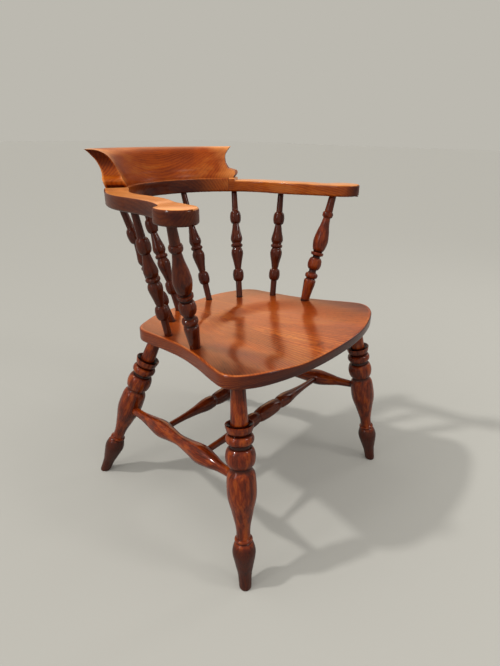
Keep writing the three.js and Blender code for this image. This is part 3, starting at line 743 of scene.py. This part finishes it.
def top_dip(x, y):
    """How far the arm's top lies below its full height: a hollow, then a domed paddle."""
    forward = -y / ARM_REACH
    centre = Vector(((PADDLE_INNER + PADDLE_OUTER) / 2, -PADDLE_CENTRE_SHARE * ARM_REACH))
    from_centre = (Vector((abs(x), y)) - centre).length / ((PADDLE_OUTER - PADDLE_INNER) / 2)
    hollow = (forward - ARM_DIP_SHARES[0]) / ARM_DIP_SHARES[1]
    return PADDLE_DROP * on_paddle(y) * min(from_centre, 1) ** 2 + ARM_DIP * math.exp(-hollow * hollow)


def rung_section(outer, inner, out_way, in_way, height, shaped):
    """Points round one rung, (x, y, z): up the outer side, over the top and down the inner side."""
    def edge(point, way):
        side = []
        for angle in quarter_turn(ARM_ROUND_STEPS):
            place = point - way * ARM_BOTTOM_ROUND * (1 - math.sin(angle))
            side.append((place.x, place.y, ARM_BOTTOM_ROUND * (1 - math.cos(angle))))
        for angle in quarter_turn(ARM_ROUND_STEPS):
            place = point - way * ARM_TOP_ROUND * (1 - math.cos(angle))
            dip = top_dip(*place) if shaped else 0
            side.append((place.x, place.y, height - dip - ARM_TOP_ROUND * (1 - math.sin(angle))))
        return side
    outer_side, inner_side = edge(outer, out_way), edge(inner, in_way)
    over = []
    for i in range(1, ARM_TOP_STEPS):
        x = lerp(outer_side[-1][0], inner_side[-1][0], i / ARM_TOP_STEPS)
        y = lerp(outer_side[-1][1], inner_side[-1][1], i / ARM_TOP_STEPS)
        over.append((x, y, height - (top_dip(x, y) if shaped else 0)))
    return outer_side + over + inner_side[::-1]


def rung_shade_and_wear(count, y, joint_gap, shaped):
    """Painted shade and wear of a rung's points: painted shade on its outer side, wear with painted
    sheen over an arm's top, and painted shade on its inner side.
    """
    if shaped:
        wear_and_sheen = lerp(ARM_WEAR_AND_SHEEN, PADDLE_WEAR_AND_SHEEN, on_paddle(y))
        inner_shade = SIDE_SHADE * smooth(PADDLE_TIP_SHARE, 1, -y / ARM_REACH)
    else:
        wear_and_sheen = 0
        inner_shade = RAIL_SHADE * smooth(0, RAIL_UNSHADED_RUN, joint_gap)
    outer, top = 2 * ARM_ROUND_STEPS, ARM_TOP_STEPS + ARM_ROUND_STEPS
    return [SIDE_SHADE] * outer + [-wear_and_sheen] * top + [inner_shade] * (count - outer - top)


def bow_piece(name, rungs, side, material, grain_of, entries, shaped):
    """An arm, which is shaped, or the back rail, which has a joint at either end."""
    outer_edge, inner_edge = [rung[0] for rung in rungs], [rung[1] for rung in rungs]
    joints = [rungs[0][0]] if shaped else [rungs[0][0], rungs[-1][0]]
    points, joint_gaps, plain = [], [], []
    for i, (outer, inner, height) in enumerate(rungs):
        across = outer - inner
        across = across.normalized() if across.length > JOINT_GAP else Vector((0, -1))
        section = rung_section(outer, inner, outward(outer_edge, i, across),
                               outward(inner_edge, i, -across), height, shaped)
        points += [on_bow(side * x, y, z) for x, y, z in section]
        gap = min((outer - joint).length for joint in joints)
        joint_gaps += [gap] * len(section)
        plain += rung_shade_and_wear(len(section), outer.y, gap, shaped)
    count = len(points) // len(rungs)
    faces = loop_faces(len(rungs), count)
    faces.append(tuple(range(count)))
    if not shaped:
        faces.append(tuple(range(len(points) - count, len(points))))
    dirt_shade_and_wear = []
    for point, gap, shade in zip(points, joint_gaps, plain):
        entry = min((point - place).length - radius for place, radius in entries)
        dark = max(CONTACT_DIRT * (1 - smooth(0, CONTACT_REACH, entry)),
                   JOINT_DIRT * (1 - smooth(0, JOINT_LINE / 2, gap)))
        dirt_shade_and_wear.append(max(dark, shade) if dark > 0 else shade)
    return make_piece(name, points, faces, map(grain_of, points), dirt_shade_and_wear, material)


def head_entries(side):
    return [(upright["head"], upright["shares"][-1][1] * upright["radius"])
            for upright in uprights(side)]


def arm_grain(side):
    """The grain of an arm, which runs from front to back."""
    across, up, along = ARM_LOG

    def grain(point):
        return Vector((point.x * side + across, point.z - ARM_HEIGHT + up, point.y + side * along))
    return grain


def cross_grain(log_place):
    """The grain of a board that runs from side to side."""
    across, up = log_place

    def grain(point):
        return Vector((point.y + across, point.z - ARM_HEIGHT + up, point.x))
    return grain


def arm(side_name, material):
    side = SIDES[side_name]
    piece = bow_piece(f"arm_board_{side_name}", arm_rungs(), side, material, arm_grain(side),
                      head_entries(side), shaped=True)
    dress(piece, f"arm_{side_name}")


def back_rail(material):
    entries = [entry for side in SIDES.values() for entry in head_entries(side)]
    piece = bow_piece("back_rail_board", rail_rungs(), SIDES["left"], material,
                      cross_grain(RAIL_LOG), entries, shaped=False)
    drill(piece, [screw_bore(place, material) for place in screw_places()])
    dress(piece, "back_rail")


# Screw holes


def screw_places():
    return [bow_point(lerp(CREST_ANGLE, 180 - CREST_ANGLE, share), 0)
            for share in SCREW_SPREAD_SHARES]


def screw_bore(place, material):
    """A cutter for one counterbore in the back rail's underside."""
    radius = SCREW_HEAD_RADIUS + JOINT_GAP
    points = []
    for height in (-SCREW_RECESS, SCREW_RECESS):
        for i in range(SCREW_HOLE_SIDES):
            angle = 2 * math.pi * i / SCREW_HOLE_SIDES
            points.append(on_bow(place.x + radius * math.cos(angle),
                                 place.y + radius * math.sin(angle), height))
    faces = loop_faces(2, SCREW_HOLE_SIDES)
    faces += [tuple(range(SCREW_HOLE_SIDES)), tuple(range(SCREW_HOLE_SIDES, 2 * SCREW_HOLE_SIDES))]
    return make_piece("screw_bore", points, faces, points, [1] * len(points), material)


def drill(piece, cutters):
    for cutter in cutters:
        boolean = piece.modifiers.new("bore", "BOOLEAN")
        boolean.object = cutter
        boolean.operation = "DIFFERENCE"
        boolean.solver = "EXACT"
    graph = bpy.context.evaluated_depsgraph_get()
    cut_mesh = bpy.data.meshes.new_from_object(piece.evaluated_get(graph))
    piece.modifiers.clear()
    piece.data = cut_mesh
    for cutter in cutters:
        bpy.data.objects.remove(cutter)


# Crest


def crest_rows():
    """Height share, front and back shares of the sweep, inset share, from the foot to the tip."""
    def through(rows, column):
        curve = spline([Vector((row[0], row[column], 0)) for row in rows],
                       CREST_ROW_STEPS * (len(rows) - 1))
        return [(point.x, point.y) for point in curve]
    table = CREST_BEAD_SHARES + CREST_COVE_SHARES
    front, back = through(table, 1), through(table, 2)
    low, high = CREST_BEAD_SHARES[-1][3], CREST_COVE_SHARES[0][3]
    coves = [cove for _, cove in through(CREST_BEAD_SHARES, 3)]
    coves += [lerp(low, high, i / CREST_ROW_STEPS) for i in range(1, CREST_ROW_STEPS)]
    coves += [cove for _, cove in through(CREST_COVE_SHARES, 3)]
    return [(height, ahead, behind, cove)
            for (height, ahead), (_, behind), cove in zip(front, back, coves)]


def crest_place(height, behind, cove, along):
    inset_angle = math.degrees(cove * CREST_END_INSET / BOW_HALF_DEPTH)
    end = CREST_ANGLE + inset_angle
    place = bow_point(lerp(end, 180 - end, along), behind * CREST_SWEEP)
    foot = ARM_THICKNESS + BOW_RISE + JOINT_GAP
    return on_bow(place.x, place.y, foot + height * CREST_HEIGHT)


def crest_shade_and_wear(point, half_length, on_end):
    """A painted shadow along the foot of the crest's end faces, darkening at their top, and wear with
    painted sheen on its faces beside them.
    """
    above = point.z - CREST_FOOT
    if on_end:
        foot = CREST_FOOT_SHADOW * (1 - smooth(*CREST_FOOT_HEIGHTS, above))
        return foot or CREST_END_DARKENING * smooth(*CREST_DARKENING_SHARES, above / CREST_HEIGHT)
    run = CREST_END_RUN * half_length * 2
    return -CREST_END_WEAR_AND_SHEEN * (1 - smooth(0, run, half_length - abs(point.x)))


def crest(material):
    rows = crest_rows()
    sections = []
    for step in range(CREST_STEPS + 1):
        along = step / CREST_STEPS
        front = [crest_place(height, ahead, cove, along) for height, ahead, _, cove in rows]
        back = [crest_place(height, behind, cove, along) for height, _, behind, cove in rows]
        sections.append(front + back[-2::-1])
    count = len(sections[0])
    points = [point for section in sections for point in section]
    half_length = max(point.x for point in points)
    faces = loop_faces(len(sections), count)
    on_faces = len(points)
    for base, section in ((0, sections[0]), (CREST_STEPS * count, sections[-1])):
        grid = []
        for ahead in range(len(rows)):
            behind = count - 1 - ahead
            inner = []
            for i in range(1, CREST_ACROSS_STEPS):
                inner.append(len(points))
                points.append(section[ahead].lerp(section[behind], i / CREST_ACROSS_STEPS))
            grid.append([base + ahead, *inner, base + behind])
        for lower, upper in zip(grid, grid[1:]):
            faces += [(lower[i], lower[i + 1], upper[i + 1], upper[i])
                      for i in range(CREST_ACROSS_STEPS)]
    dirt_shade_and_wear = [crest_shade_and_wear(point, half_length, on_end=number >= on_faces)
             for number, point in enumerate(points)]
    grain = map(cross_grain(CREST_LOG), points)
    piece = make_piece("crest_board", points, faces, grain, dirt_shade_and_wear, material)
    dress(piece, "crest")


# Materials


def linear(red, green, blue):
    """A colour given as a screen's 0 to 255 values, as the renderer wants it."""
    def channel(value):
        share = value / 255
        return share / 12.92 if share <= 0.04045 else ((share + 0.055) / 1.055) ** 2.4
    return (channel(red), channel(green), channel(blue), 1)


class Nodes:
    """Adds nodes to one tree. Inputs given as sockets are linked, others are set."""

    def __init__(self, tree):
        self.tree = tree

    def add(self, kind, inputs, output=0, **settings):
        made = self.tree.nodes.new(kind)
        for key, value in settings.items():
            setattr(made, key, value)
        self.fill(made, inputs)
        return made.outputs[output]

    def fill(self, node, inputs):
        for key, value in inputs.items():
            if isinstance(value, bpy.types.NodeSocket):
                self.tree.links.new(value, node.inputs[key])
            else:
                node.inputs[key].default_value = value

    def math(self, operation, first, second=0):
        return self.add("ShaderNodeMath", {0: first, 1: second}, operation=operation)

    def times_plus(self, value, factor, other):
        return self.math("ADD", self.math("MULTIPLY", value, factor), other)

    def ray(self, kind):
        """1 for light of one kind, such as Camera, and 0 for all other light."""
        return self.add("ShaderNodeLightPath", {}, f"Is {kind} Ray")

    def seen(self):
        """1 where something is seen by the camera, in a reflection or through glass."""
        direct = self.math("MAXIMUM", self.ray("Camera"), self.ray("Transmission"))
        return self.math("MAXIMUM", direct, self.ray("Glossy"))

    def attribute(self, name, output):
        return self.add("ShaderNodeAttribute", {}, output, attribute_name=name)

    def scaled(self, vector, factors):
        return self.add("ShaderNodeVectorMath", {0: vector, 1: factors}, operation="MULTIPLY")

    def joined(self, x, y, z, factors):
        joined = self.add("ShaderNodeCombineXYZ", {0: x, 1: y, 2: z})
        return self.scaled(joined, factors)

    def noise(self, vector, scale, detail=2, roughness=0.5):
        return self.add("ShaderNodeTexNoise", {
            "Vector": vector, "Scale": scale, "Detail": detail, "Roughness": roughness}, "Fac")

    def ramp(self, value, stops):
        """stops are (place, colour or grey) pairs."""
        made = self.tree.nodes.new("ShaderNodeValToRGB")
        self.tree.links.new(value, made.inputs[0])
        elements = made.color_ramp.elements
        for i, (place, colour) in enumerate(stops):
            element = elements[i] if i < 2 else elements.new(place)
            element.position = place
            element.color = colour if isinstance(colour, tuple) else (colour, colour, colour, 1)
        return made.outputs[0]

    def mix(self, share, first, second, blend="MIX"):
        """Mixes two colours, whose sockets come after those for numbers and vectors."""
        made = self.tree.nodes.new("ShaderNodeMix")
        made.data_type = "RGBA"
        made.blend_type = blend
        self.fill(made, {0: share, 6: first, 7: second})
        return made.outputs[2]


class Shader(Nodes):
    """The nodes of one material."""

    def __init__(self, name):
        self.material = bpy.data.materials.new(name)
        self.material.use_nodes = True
        super().__init__(self.material.node_tree)
        self.surface = self.tree.nodes["Principled BSDF"]


# Where each pattern's colours lie, as levels of its noise
FIBRE_STOPS = (0.32, 0.5, 0.7)
STAIN_STOPS = (0.38, 0.5, 0.63)
PORE_STOPS = (0.34, 0.48)
PORE_NOISE = {"detail": 2, "roughness": 0.6}
FIGURE_STOPS = (0.36, 0.62)
DIRT_AND_SHADE_STOPS = (0.06, 0.95)
WEAR_AND_SHEEN_STOPS = (0.05, 1)
MIDDLE_LEVEL = 0.5
FIBRE_NOISE = {"detail": 4, "roughness": 0.65}
STAIN_NOISE = {"detail": 4, "roughness": 0.6}
SLOW_GRAIN = (1, 1, 0.25)  # how stain and figure are drawn out along the grain
RELIEF = 0.2  # depth of the pores, in millimetres
FIBRE_RELIEF = 0.5  # share of it for the fibres
FIBRE_ROUGHNESS = 0.2
DIRT_AND_SHADE_ROUGHNESS = 0.3


def wood(name, look):
    """Varnished wood: growth rings round the log's pith, fibres, pores and stain, darkened by dirt and
    painted shade and paled by wear and painted sheen.
    """
    shader = Shader(name)
    grain = shader.attribute("grain", "Vector")
    dirt_shade_and_wear = shader.attribute("dirt_shade_and_wear", "Fac")
    parts = shader.tree.nodes.new("ShaderNodeSeparateXYZ")
    shader.tree.links.new(grain, parts.inputs[0])
    across, up, along = parts.outputs
    shades = (look["dark"], look["middle"], look["light"])
    slow = shader.scaled(grain, SLOW_GRAIN)
    radius = shader.add("ShaderNodeVectorMath", {0: shader.scaled(grain, (1, 1, 0))}, "Value",
                        operation="LENGTH")
    wander = shader.math("MULTIPLY", shader.noise(slow, look["wander_scale"]), look["wander"])
    ripple = shader.noise(shader.joined(across, up, along, look["ripple_scales"]), 1)
    warped = shader.math("ADD", radius, shader.times_plus(ripple, look["ripple"], wander))
    ring = shader.math("FRACT", shader.math("DIVIDE", warped, look["ring"]))
    bands = shader.ramp(ring, look["rings"])
    fibre = shader.noise(shader.joined(warped, across, along, look["fibre_scales"]), 1, **FIBRE_NOISE)
    fibres = shader.ramp(fibre, zip(FIBRE_STOPS, shades))
    pore = shader.noise(shader.joined(warped, up, along, look["pore_scales"]), 1, **PORE_NOISE)
    pores = shader.ramp(pore, zip(PORE_STOPS, (1.0, 0.0)))
    stain = shader.noise(slow, look["stain_scale"], **STAIN_NOISE)
    stains = shader.ramp(stain, zip(STAIN_STOPS, shades))
    figure = shader.ramp(shader.noise(slow, look["figure_scale"]), zip(FIGURE_STOPS, look["figure"]))
    colour = shader.mix(figure, look["middle"], bands)
    colour = shader.mix(look["fibre"], colour, fibres)
    colour = shader.mix(look["stain"], colour, stains)
    colour = shader.mix(shader.math("MULTIPLY", pores, look["pores"]), colour, look["pore"])
    # Darkening here marks dirt, dark joints and painted shade; paling marks wear and painted sheen.
    above = shader.math("SUBTRACT", stain, MIDDLE_LEVEL)
    patchy = shader.math("MULTIPLY", above, look["patchiness"])
    dirt_and_shade = shader.ramp(shader.math("ADD", dirt_shade_and_wear, patchy), zip(DIRT_AND_SHADE_STOPS, (0.0, 1.0)))
    worn_and_sheen = shader.ramp(shader.math("SUBTRACT", patchy, dirt_shade_and_wear), zip(WEAR_AND_SHEEN_STOPS, (0.0, 1.0)))
    colour = shader.mix(worn_and_sheen, colour, look["worn_and_sheen"])
    colour = shader.mix(dirt_and_shade, colour, look["dirt_and_shade"], "MULTIPLY")
    height = shader.math("SUBTRACT", shader.math("MULTIPLY", fibre, FIBRE_RELIEF), pores)
    bump = shader.add("ShaderNodeBump", {
        "Strength": look["bump"], "Distance": METRES_PER_MM * RELIEF, "Height": height})
    rough = shader.times_plus(fibre, FIBRE_ROUGHNESS, look["roughness"])
    rough = shader.times_plus(dirt_and_shade, DIRT_AND_SHADE_ROUGHNESS, rough)
    shader.fill(shader.surface, {
        "Base Color": colour, "Roughness": rough, "Normal": bump,
        "Specular IOR Level": look["specular"], "Coat Weight": look["coat"],
        "Coat Roughness": look["coat_roughness"]})
    return shader.material


# Each look holds a colour that dirt and painted shade darken towards, and one that wear and painted
# sheen pale towards.
SEAT_LOOK = {
    "light": linear(190, 87, 14), "middle": linear(150, 57, 5), "dark": linear(103, 29, 2),
    "pore": linear(70, 19, 3), "dirt_and_shade": linear(98, 58, 58), "worn_and_sheen": linear(226, 146, 76),
    "rings": [(0, linear(139, 51, 4)), (0.4, linear(155, 63, 8)), (0.55, linear(214, 119, 38)),
              (0.64, linear(199, 98, 22)), (0.76, linear(139, 51, 4)), (0.92, linear(107, 31, 3))],
    "ring": 4.4, "wander": 9, "wander_scale": 0.012, "ripple": 5, "ripple_scales": (0.09, 0.09, 0.006),
    "figure": (0.35, 1), "figure_scale": 0.014, "fibre_scales": (0.9, 0.22, 0.018),
    "pore_scales": (1.1, 0.6, 0.1), "stain_scale": 0.03, "patchiness": 1.1,
    "fibre": 0.3, "pores": 0.5, "stain": 0.3,
    "bump": 0.25, "roughness": 0.3, "specular": 0.05, "coat": 0.6, "coat_roughness": 0.17,
}
BOW_LOOK = {
    **SEAT_LOOK,
    "light": linear(198, 106, 32), "middle": linear(156, 70, 12), "dark": linear(102, 34, 4),
    "rings": [(0, linear(150, 66, 12)), (0.35, linear(182, 94, 26)), (0.6, linear(160, 74, 14)),
              (0.88, linear(104, 36, 5))],
    "ring": 4.6, "ripple": 3, "figure": (0.3, 0.8), "pores": 0.3, "coat": 0.5,
}
CREST_LOOK = {
    **SEAT_LOOK,
    "light": linear(190, 92, 10), "middle": linear(152, 60, 4), "dark": linear(104, 32, 1),
    "rings": [(0, linear(144, 56, 4)), (0.35, linear(178, 86, 9)), (0.6, linear(150, 60, 4)),
              (0.88, linear(94, 27, 1))],
    "ring": 4.8, "wander": 14, "ripple": 3, "figure": (0.3, 0.95), "pores": 0.3,
    "stain_scale": 0.02, "stain": 0.45, "coat": 0.2, "coat_roughness": 0.28,
}
TURNED_LOOK = {
    **SEAT_LOOK,
    "light": linear(164, 70, 13), "middle": linear(110, 34, 5), "dark": linear(54, 12, 3),
    "pore": linear(36, 10, 4), "dirt_and_shade": linear(70, 48, 52), "worn_and_sheen": linear(176, 88, 22),
    "rings": [(0, linear(112, 37, 5)), (0.35, linear(148, 62, 10)), (0.6, linear(112, 37, 5)),
              (0.88, linear(62, 16, 3))],
    "ring": 4, "wander": 6, "ripple": 3, "fibre_scales": (0.8, 0.5, 0.03), "pores": 0.35,
    "stain": 0.62, "stain_scale": 0.1, "coat": 0.55, "coat_roughness": 0.11,
}
DOWEL_LOOK = {
    "scale": 900, "streaks": [(0.3, linear(178, 140, 90)), (0.7, linear(212, 178, 126))],
    "roughness": 0.6, "metallic": 0,
}
SCREW_LOOK = {
    "scale": 700, "streaks": [(0.35, linear(96, 92, 86)), (0.6, linear(160, 158, 152))],
    "roughness": 0.2, "tarnish": 0.3, "metallic": 1,
}


def fixing(name, look):
    """Bare wood or steel with fine streaks, which also roughen it where it is tarnished."""
    shader = Shader(name)
    streak = shader.noise(shader.add("ShaderNodeTexCoord", {}, "Object"), look["scale"], **STAIN_NOISE)
    rough = look["roughness"]
    if "tarnish" in look:
        rough = shader.times_plus(streak, look["tarnish"], rough)
    shader.fill(shader.surface, {"Base Color": shader.ramp(streak, look["streaks"]),
                                 "Roughness": rough, "Metallic": look["metallic"]})
    return shader.material


# The chair


def build_legs(material):
    for row in LEG_SPREAD:
        for side_name, side in SIDES.items():
            log_place = Vector(LEG_LOG[row]) * Vector((side, 1, 1))
            log_place.z += LEG_LOG_STEP * side
            turned(f"leg_{row}_{side_name}", LEG_SHARES, leg_point(row, side, 0),
                   leg_point(row, side, 1), LEG_RADIUS, material, log_place, level_foot=True)


def build_uprights(side_name, material):
    side = SIDES[side_name]
    for number, upright in enumerate(uprights(side)):
        name = f"{upright['name']}_{side_name}" + (f"_{number}" if number else "")
        log_place = Vector(UPRIGHT_LOG) * Vector((1, side, side)) + Vector(UPRIGHT_LOG_STEP) * number
        turned(name, upright["shares"], upright["foot"], upright["head"], upright["radius"],
               material, log_place, upright["dirt_and_shade"])


def build_turned(material):
    build_legs(material)
    for side_name, side in SIDES.items():
        turned(f"side_stretcher_{side_name}", SIDE_STRETCHER_OUTLINE, *side_shoulders(side),
               SIDE_STRETCHER_RADIUS, material, Vector(SIDE_STRETCHER_LOG) * Vector((1, 1, side)))
        build_uprights(side_name, material)
    for place_name, share in CROSS_PLACE_SHARES.items():
        turned(f"cross_stretcher_{place_name}", CROSS_STRETCHER_OUTLINE, *cross_shoulders(share),
               CROSS_STRETCHER_RADIUS, material,
               Vector(CROSS_STRETCHER_LOG) * Vector((1, 1, share)), CROSS_DARKENING)


def build_chair():
    turned_wood = wood("turned_wood", TURNED_LOOK)
    bow_wood = wood("bow_wood", BOW_LOOK)
    seat(wood("seat_wood", SEAT_LOOK))
    build_turned(turned_wood)
    for side_name in SIDES:
        arm(side_name, bow_wood)
    back_rail(bow_wood)
    crest(wood("crest_wood", CREST_LOOK))
    fixings = {"dowel": fixing("dowel_wood", DOWEL_LOOK),
               "crest_screw": fixing("screw_steel", SCREW_LOOK)}
    for name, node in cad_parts.items():
        for stem, material in fixings.items():
            if name.startswith(stem):
                node.data.materials.clear()
                node.data.materials.append(material)


# Camera, floor and light

CAMERA_PLACE = (-789.23, -683.29, 836.53)
CAMERA_TURN = math.radians(-50.64)
CAMERA_DOWN = math.radians(23.09)
CAMERA_ROLL = math.radians(1.0)
CAMERA_LENS = 25.68
CAMERA_CLIP = (0.05, 200)
BACKDROP = linear(188, 185, 176)
FLOOR_COLOUR = linear(178, 175, 166)
FLOOR_SIZE = 60
KEY_DIRECTION = (0.58, -0.53, -1)
KEY_STRENGTH = 1.2
KEY_SPREAD = math.radians(3.5)
# Where the room is brightest, how near to that its light begins, and its two levels
SKY = ((-0.6, -0.15, 0.8), 0.15, 0.2, 1.4)
GLOSS = ((0.65, 0.64, 0.41), 0.945, 0, 2.4)  # the same, for what reflections add to the backdrop
GLOSS_COLOUR = linear(255, 176, 108)
FLOOR_BOUNCE = linear(52, 48, 42)  # the floor, where it only throws light back
FLOOR_GLOW = 0.02  # share of the floor's brightness that no shadow takes away
WINDOWS = {  # place, width, height, power
    "window_far": ((2.3, -0.9, 1.6), 0.4, 0.8, 4),
    "window_right": ((0.55, -1.75, 2.1), 0.35, 0.5, 8),
    "window_left": ((-3.1, 0.6, 1.9), 0.56, 1.7, 12),
}


def make_camera():
    turn, down, roll = CAMERA_TURN, CAMERA_DOWN, CAMERA_ROLL
    back = Vector((math.sin(turn) * math.cos(down), -math.cos(turn) * math.cos(down), math.sin(down)))
    right = Vector((math.cos(turn), math.sin(turn), 0))
    up = back.cross(right)
    tilted_right = math.cos(roll) * right + math.sin(roll) * up
    tilted_up = -math.sin(roll) * right + math.cos(roll) * up
    data = bpy.data.cameras.new("camera")
    data.lens = CAMERA_LENS
    data.clip_start, data.clip_end = CAMERA_CLIP
    camera = link("camera", data)
    rotation = Matrix((tilted_right, tilted_up, back)).transposed()
    camera.matrix_world = Matrix.Translation(in_metres(CAMERA_PLACE)) @ rotation.to_4x4()
    bpy.context.scene.camera = camera


def make_floor():
    half = FLOOR_SIZE / 2
    mesh = bpy.data.meshes.new("floor")
    mesh.from_pydata([(-half, -half, 0), (half, -half, 0), (half, half, 0), (-half, half, 0)],
                     [], [(0, 1, 2, 3)])
    shader = Shader("floor")
    seen = shader.seen()
    lit = tuple(channel * (1 - FLOOR_GLOW) for channel in FLOOR_COLOUR[:3])
    shader.fill(shader.surface, {
        "Base Color": shader.mix(seen, FLOOR_BOUNCE, (*lit, 1)),
        "Roughness": 1, "Specular IOR Level": 0, "Emission Color": BACKDROP,
        "Emission Strength": shader.math("MULTIPLY", seen, FLOOR_GLOW)})
    mesh.materials.append(shader.material)
    floor = link("floor", mesh)


def make_lamp(name, kind, **settings):
    data = bpy.data.lights.new(name, kind)
    for key, value in settings.items():
        setattr(data, key, value)
    return link(name, data)


def make_light():
    key = make_lamp("key", "SUN", energy=KEY_STRENGTH, angle=KEY_SPREAD)
    key.rotation_euler = Vector(KEY_DIRECTION).to_track_quat("-Z", "Y").to_euler()
    for name, (place, width, height, power) in WINDOWS.items():
        window = make_lamp(name, "AREA", energy=power, shape="RECTANGLE", size=width, size_y=height)
        window.location = place
        aim = Vector((0, 0, SEAT_HEIGHT * METRES_PER_MM)) - Vector(place)
        window.rotation_euler = aim.to_track_quat("-Z", "Y").to_euler()
    make_room()


def room_level(nodes, direction, nearness, away, ahead):
    """A level that rises from away to ahead as one looks towards the direction."""
    place = nodes.add("ShaderNodeTexCoord", {}, "Generated")
    towards = nodes.add("ShaderNodeVectorMath", {0: place, 1: direction}, "Value",
                        operation="DOT_PRODUCT")
    return nodes.add("ShaderNodeMapRange", {
        "Value": towards, "From Min": nearness, "To Min": away, "To Max": ahead})


def make_room():
    """The camera and reflections see a plain backdrop, with a warm glow added in reflections.
    All other light comes from a room that is brighter high up on the -X side."""
    world = bpy.data.worlds.new("room")
    bpy.context.scene.world = world
    world.use_nodes = True
    nodes = Nodes(world.node_tree)
    room = nodes.tree.nodes["Background"]
    nodes.fill(room, {"Color": (1, 1, 1, 1), "Strength": room_level(nodes, *SKY)})
    backdrop = nodes.add("ShaderNodeBackground", {"Color": BACKDROP, "Strength": 1})
    glow = nodes.add("ShaderNodeBackground", {
        "Color": GLOSS_COLOUR,
        "Strength": nodes.math("MULTIPLY", room_level(nodes, *GLOSS), nodes.ray("Glossy"))})
    shown = nodes.add("ShaderNodeAddShader", {0: backdrop, 1: glow})
    surface = nodes.add("ShaderNodeMixShader", {0: nodes.seen(), 1: room.outputs[0], 2: shown})
    nodes.fill(nodes.tree.nodes["World Output"], {"Surface": surface})


make_camera()
make_floor()
make_light()
build_chair()
bpy.context.scene.view_settings.view_transform = "Standard"
